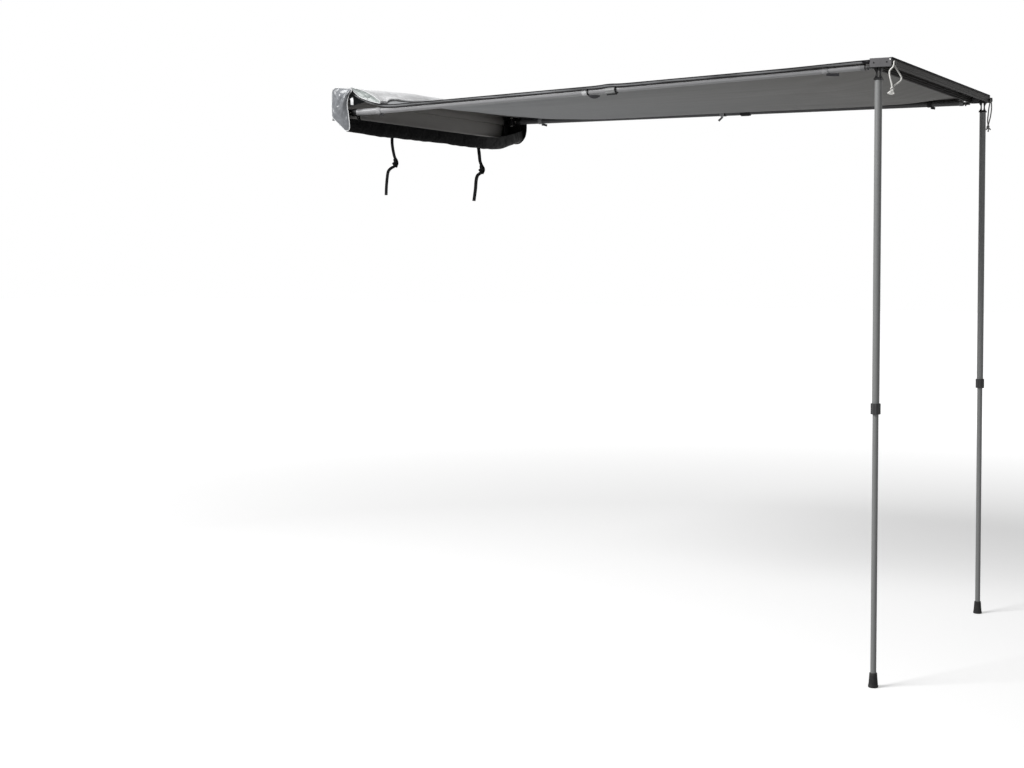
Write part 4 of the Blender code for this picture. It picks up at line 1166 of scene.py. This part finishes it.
def arm_place(end, from_tip):
    """Frame on an arm: X across it, Y up and Z towards its tip."""
    along = (ARM_PEG[end] - ARM_ROOT[end]).normalized()
    at = ARM_PEG[end] - along * (from_tip + PEG_FROM_FACE)
    across = Vector((1, 0, 0))
    return Matrix.Translation(at) @ Matrix((across, along.cross(across), along)).transposed().to_4x4()


def make_tie(end, side, place):
    """Hook-and-loop band closed round a tube over its own end, and its loose tail."""
    from_tip, tube = TIE_PLACES[place]
    at = arm_place(end, from_tip)
    along = at.to_3x3() @ Vector((0, 0, 1))
    body = f"{end}_arm_slide" if place == "outer" else f"{end}_arm"
    name = f"{end}_{place}_tie"
    band_look, tail_look = TIE_LOOKS.get((end, place), ("dull tie", "tie tail"))
    turn_points = []
    for i in range(BAND_STEPS + 1):
        share = i / BAND_STEPS
        angle = math.radians(-70 + 385 * share)
        radius = tube + (0.95 + 0.55 * share) * MM
        turn_points.append(at @ Vector((side * radius * math.cos(angle), radius * math.sin(angle), 0)))
    band = swept(turn_points, flat_section(TIE_WIDTH, BAND_THICK), start_side=along)
    finished(band, f"{name}_band", FINISHES[band_look], body, 60)
    tail_points = [at @ Vector((side * x * MM, y * MM - tube, z * MM)) for x, y, z in TIE_TAILS[end, place]]
    hanging = (end, place) == ("rear", "inner")
    leaf = (end, place) == ("front", "inner")
    tail = swept(smooth_route(tail_points, 6), flat_section(TAIL_WIDE, TAIL_THICK),
                 start_side=along if hanging else at.to_3x3() @ Vector((0, 1, 0)),
                 twist=lambda t: 14 * math.sin(3 * t),
                 swell=lambda t: 0.55 + 0.75 * math.sin(math.pi * t) if leaf else 1)
    finished(tail, f"{name}_tail", FINISHES[tail_look], body, 60)
    if place == "inner":
        edge = arm_place(end, from_tip - RIM_ASIDE)
        radius = tube + 1.2 * MM
        turns = [2 * math.pi * i / RIM_STEPS for i in range(RIM_STEPS + 1)]
        rim = [edge @ Vector((radius * math.cos(t), radius * math.sin(t), 0)) for t in turns]
        ring = swept(rim, flat_section(RIM_WIDE, RIM_THICK), caps=False, start_side=along)
        finished(ring, f"{name}_rim", FINISHES["binding"], body, 60)
    if place != "case":
        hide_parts(name)


def make_lock_details():
    """Black collar on each arm's lock, and a thumb bar on the front one."""
    black = FINISHES["black plastic"]
    for end in SIDES:
        collar = ring_piece(COLLAR_R, COLLAR_LONG, arm_place(end, COLLAR_FROM_TIP), COLLAR_WALL, 0.8 * MM)
        finished(collar, f"{end}_lock_collar", black, f"{end}_arm_lock")
    bar = box_piece(THUMB_BAR_LOW, THUMB_BAR_HIGH)
    pick(bar, lambda centre, normal: normal.y < -0.9)
    bpy.ops.mesh.inset(thickness=2 * MM)
    put_by((0, 0.8 * MM, 0))
    edge_bevel(bar, 0.9 * MM)
    apply_all(bar)
    bar.matrix_world = arm_place("front", THUMB_BAR_FROM_TIP)
    finished(bar, "front_lock_thumb_bar", black, "front_arm_lock")


def make_root_sleeves():
    """Black sleeve over the root of each arm's tube."""
    for end in SIDES:
        sleeve = ring_piece(SLEEVE_R, SLEEVE_LONG, arm_place(end, SLEEVE_FROM_TIP), SLEEVE_WALL, 0.5 * MM)
        finished(sleeve, f"{end}_root_sleeve", FINISHES["black plastic"], f"{end}_arm")


# Small parts on the leading rail
def make_rail_strip():
    """Black strip along the leading rail's top outer corner, with a lip over its top."""
    inset = END_X - 2 * MM
    low = (-inset, LEAD_OUTER_Y - 1.3 * MM, TOP_Z - 5.2 * MM)
    high = (inset, LEAD_OUTER_Y - 0.3 * MM, TOP_Z + 1.3 * MM)
    strip = box_piece(low, high)
    edit_all(strip, bpy.ops.mesh.bisect, plane_co=(0, 0, TOP_Z + 0.3 * MM), plane_no=(0, 0, 1))
    pick(strip, lambda centre, normal: normal.y > 0.9 and centre.z > TOP_Z + 0.3 * MM)
    bpy.ops.mesh.extrude_region_move()
    put_by((0, 9 * MM, 0))
    edge_bevel(strip, 0.35 * MM)
    apply_all(strip)
    finished(strip, "rail_edge_strip", FINISHES["binding"], "leading_rail")


SCREW_R = 2.6 * MM
PLATE_FACE_X = END_X + 4.8 * MM
KNOB_R = 4.4 * MM
KNOB_LONG = 12 * MM
KNOB_PLACE = (0.6995, LEAD_INNER_Y + 3.2 * MM, 0.0515)
TAB_ROUTE = ((0.6935, 2, 0.046), (0.6942, 13, 0.0475), (0.6950, 23, 0.0500), (0.6962, 31, 0.0535))


def facing(side):
    """Turn that lays a piece's own Z along the outward X of one end."""
    return Vector((side, 0, 0)).to_track_quat("Z", "Y").to_matrix().to_4x4()


def make_screw(name, centre, side, look):
    """Pan-head screw with a sunk socket."""
    head = round_piece(SCREW_R, SCREW_R * 0.8, Matrix.Identity(4), 24)
    pick(head, lambda centre, normal: normal.z > 0.9)
    bpy.ops.mesh.inset(thickness=SCREW_R * 0.45)
    put_by((0, 0, -SCREW_R * 0.35))
    edge_bevel(head, SCREW_R * 0.16, 50)
    apply_all(head)
    head.matrix_world = Matrix.Translation(centre) @ facing(side)
    finished(head, name, look, "leading_rail")


def make_plate_screws(end, side):
    """A pale screw at the top of an end plate, its white a painted highlight on the screw head, and two black
    ones below it.
    """
    for label, y, drop, look, slot in (
            # The top screw is pale for a glint on its head: painted highlight
            ("top", LEAD_OUTER_Y + 5 * MM, 6.5 * MM, "white plastic", "white_plastic"),
            ("inner", LEAD_INNER_Y - 14 * MM, 15 * MM, "black steel", "black_steel"),
            ("outer", LEAD_OUTER_Y + 16 * MM, 15 * MM, "black steel", "black_steel")):
        centre = (side * PLATE_FACE_X, y, TOP_Z - drop)
        make_screw(f"{end}_plate_{label}_screw", centre, side, FINISHES[look])


def make_corner_knob(end, side):
    """Tensioner knob beside an end plate."""
    x, y, z = KNOB_PLACE
    knob = round_piece(KNOB_R, KNOB_LONG, Matrix.Translation((side * x, y, z)) @ facing(side), 20)
    pick(knob, lambda centre, normal: normal.x * side > 0.9)
    bpy.ops.mesh.inset(thickness=1.3 * MM)
    put_by((side * MM, 0, 0))
    edge_bevel(knob, 0.7 * MM)
    apply_all(knob)
    finished(knob, f"{end}_corner_knob", FINISHES["black plastic"], "leading_rail")


def make_corner_tab(end, side):
    """Webbing tab that holds the canopy's corner to the rail."""
    route = [(side * x, LEAD_INNER_Y + y * MM, z) for x, y, z in TAB_ROUTE]
    tab = swept(smooth_route(route, 5), flat_section(9 * MM, 1.8 * MM), start_side=(0, 0, 1),
                swell=lambda t: 1.1 - 0.65 * t)
    finished(tab, f"{end}_corner_tab", FINISHES["binding"], "leading_rail", 60)


# Room and light
WHITE = (1, 1, 1, 1)
SOFT_LEVEL = 0.12
KEY_AT = (-5.5, 1.8, 3.6)
KEY_POWER = 800
FILL_AT = (-3.0, -7.0, 2.5)
FILL_POWER = 12
FLOOR_SIZE = 80
FLOOR_GAP = 0.4 * MM
FLOOR_TONE = 0.60
FLOOR_LIFT_NEAR = 0.50
FLOOR_LIFT_FAR = 1.0
LIFT_FROM = 3.0
LIFT_TO = 8.5


def make_room():
    """Pale floor that takes the shadow, and grows white with the distance."""
    bpy.ops.object.select_all(action="DESELECT")
    bpy.ops.mesh.primitive_plane_add(size=FLOOR_SIZE, location=(0, -1, GROUND_Z - FLOOR_GAP))
    floor = bpy.context.object
    floor.name = "floor"
    look = Finish("floor", (FLOOR_TONE,) * 3, 0.9).shine(0.1)
    away = look.node("VectorMath", {0: look.place()}, "Value", operation="LENGTH")
    lift = look.spread(away, LIFT_FROM, LIFT_TO, FLOOR_LIFT_NEAR, FLOOR_LIFT_FAR)
    lift = look.maths("MULTIPLY", look.seen_directly(), lift)
    look.shade({"Emission Color": WHITE, "Emission Strength": lift})
    floor.data.materials.append(look.material)


def area_lamp(name, place, target, size, power):
    data = bpy.data.lights.new(name, "AREA")
    data.shape = "RECTANGLE"
    data.size, data.size_y = size
    data.energy = power
    lamp = bpy.data.objects.new(name, data)
    bpy.context.scene.collection.objects.link(lamp)
    lamp.location = place
    lamp.rotation_euler = (Vector(target) - Vector(place)).to_track_quat("-Z", "Y").to_euler()


def make_light():
    world = bpy.data.worlds.new("studio")
    bpy.context.scene.world = world
    world.use_nodes = True
    sky = Tree(world.node_tree)
    soft, plain = (sky.node("Background", {"Color": WHITE, "Strength": level}) for level in (SOFT_LEVEL, 1.0))
    mixed = sky.node("MixShader", {0: sky.seen_directly(), 1: soft, 2: plain})
    sky.feed(sky.nodes["World Output"], {"Surface": mixed})
    area_lamp("key", KEY_AT, (0, -1.2, -0.6), (3.0, 3.0), KEY_POWER)
    area_lamp("fill", FILL_AT, (0, -1.4, -0.8), (4.0, 3.0), FILL_POWER)


NODE_LOOKS = {
    "black plastic": "rail_cap knuckle arm_plug rope_eye leg_hanger leg_head",
    "black steel": "arm_bracket arm_catch",
    "zinc": "swing_pin tilt_pin fold_pin",
    "white plastic": "arm_bush leg_bush",
    "tip grey": "arm_tip",
    "grey plastic": "end_plate",
    "leg tube": "leg_tube leg_slide_tube",
    "lock black": "leg_lock",
    "rubber": "foot",
}


def paint_nodes():
    """Give each solid that shows as it is its finish."""
    # The front arm's lock is the grey copy of the black plastic, painted light; the rear one stays black
    looks = {"back_rail": "case", "leading_rail": "rail", "canopy": "canvas", "front_arm_lock": "lit lock plastic",
             "rear_arm_lock": "black plastic"}
    # The rear arm's tubes take the darker copy of the tube finish: painted shade
    for end, tube in (("front", "arm tube"), ("rear", "shaded rear arm tube")):
        looks[f"{end}_arm_tube"] = looks[f"{end}_arm_slide_tube"] = tube
        for look, parts in NODE_LOOKS.items():
            looks.update({f"{end}_{part}": look for part in parts.split()})
    for node, look in looks.items():
        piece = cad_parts[node]
        piece.data.materials.clear()
        piece.data.materials.append(FINISHES[look])


make_camera()
for end, side in SIDES.items():
    make_rope(end)
    make_strap(end)
paint_nodes()
make_canopy()
make_canopy_edges()
make_beads()
make_bag()
for end, side in SIDES.items():
    for place in TIE_PLACES:
        make_tie(end, side, place)
make_lock_details()
make_front_pull()
make_lining()
make_root_sleeves()
make_rail_strip()
for end, side in SIDES.items():
    make_plate_screws(end, side)
    make_corner_knob(end, side)
    make_corner_tab(end, side)
make_room()
make_light()
bpy.context.scene.view_settings.view_transform = "Standard"
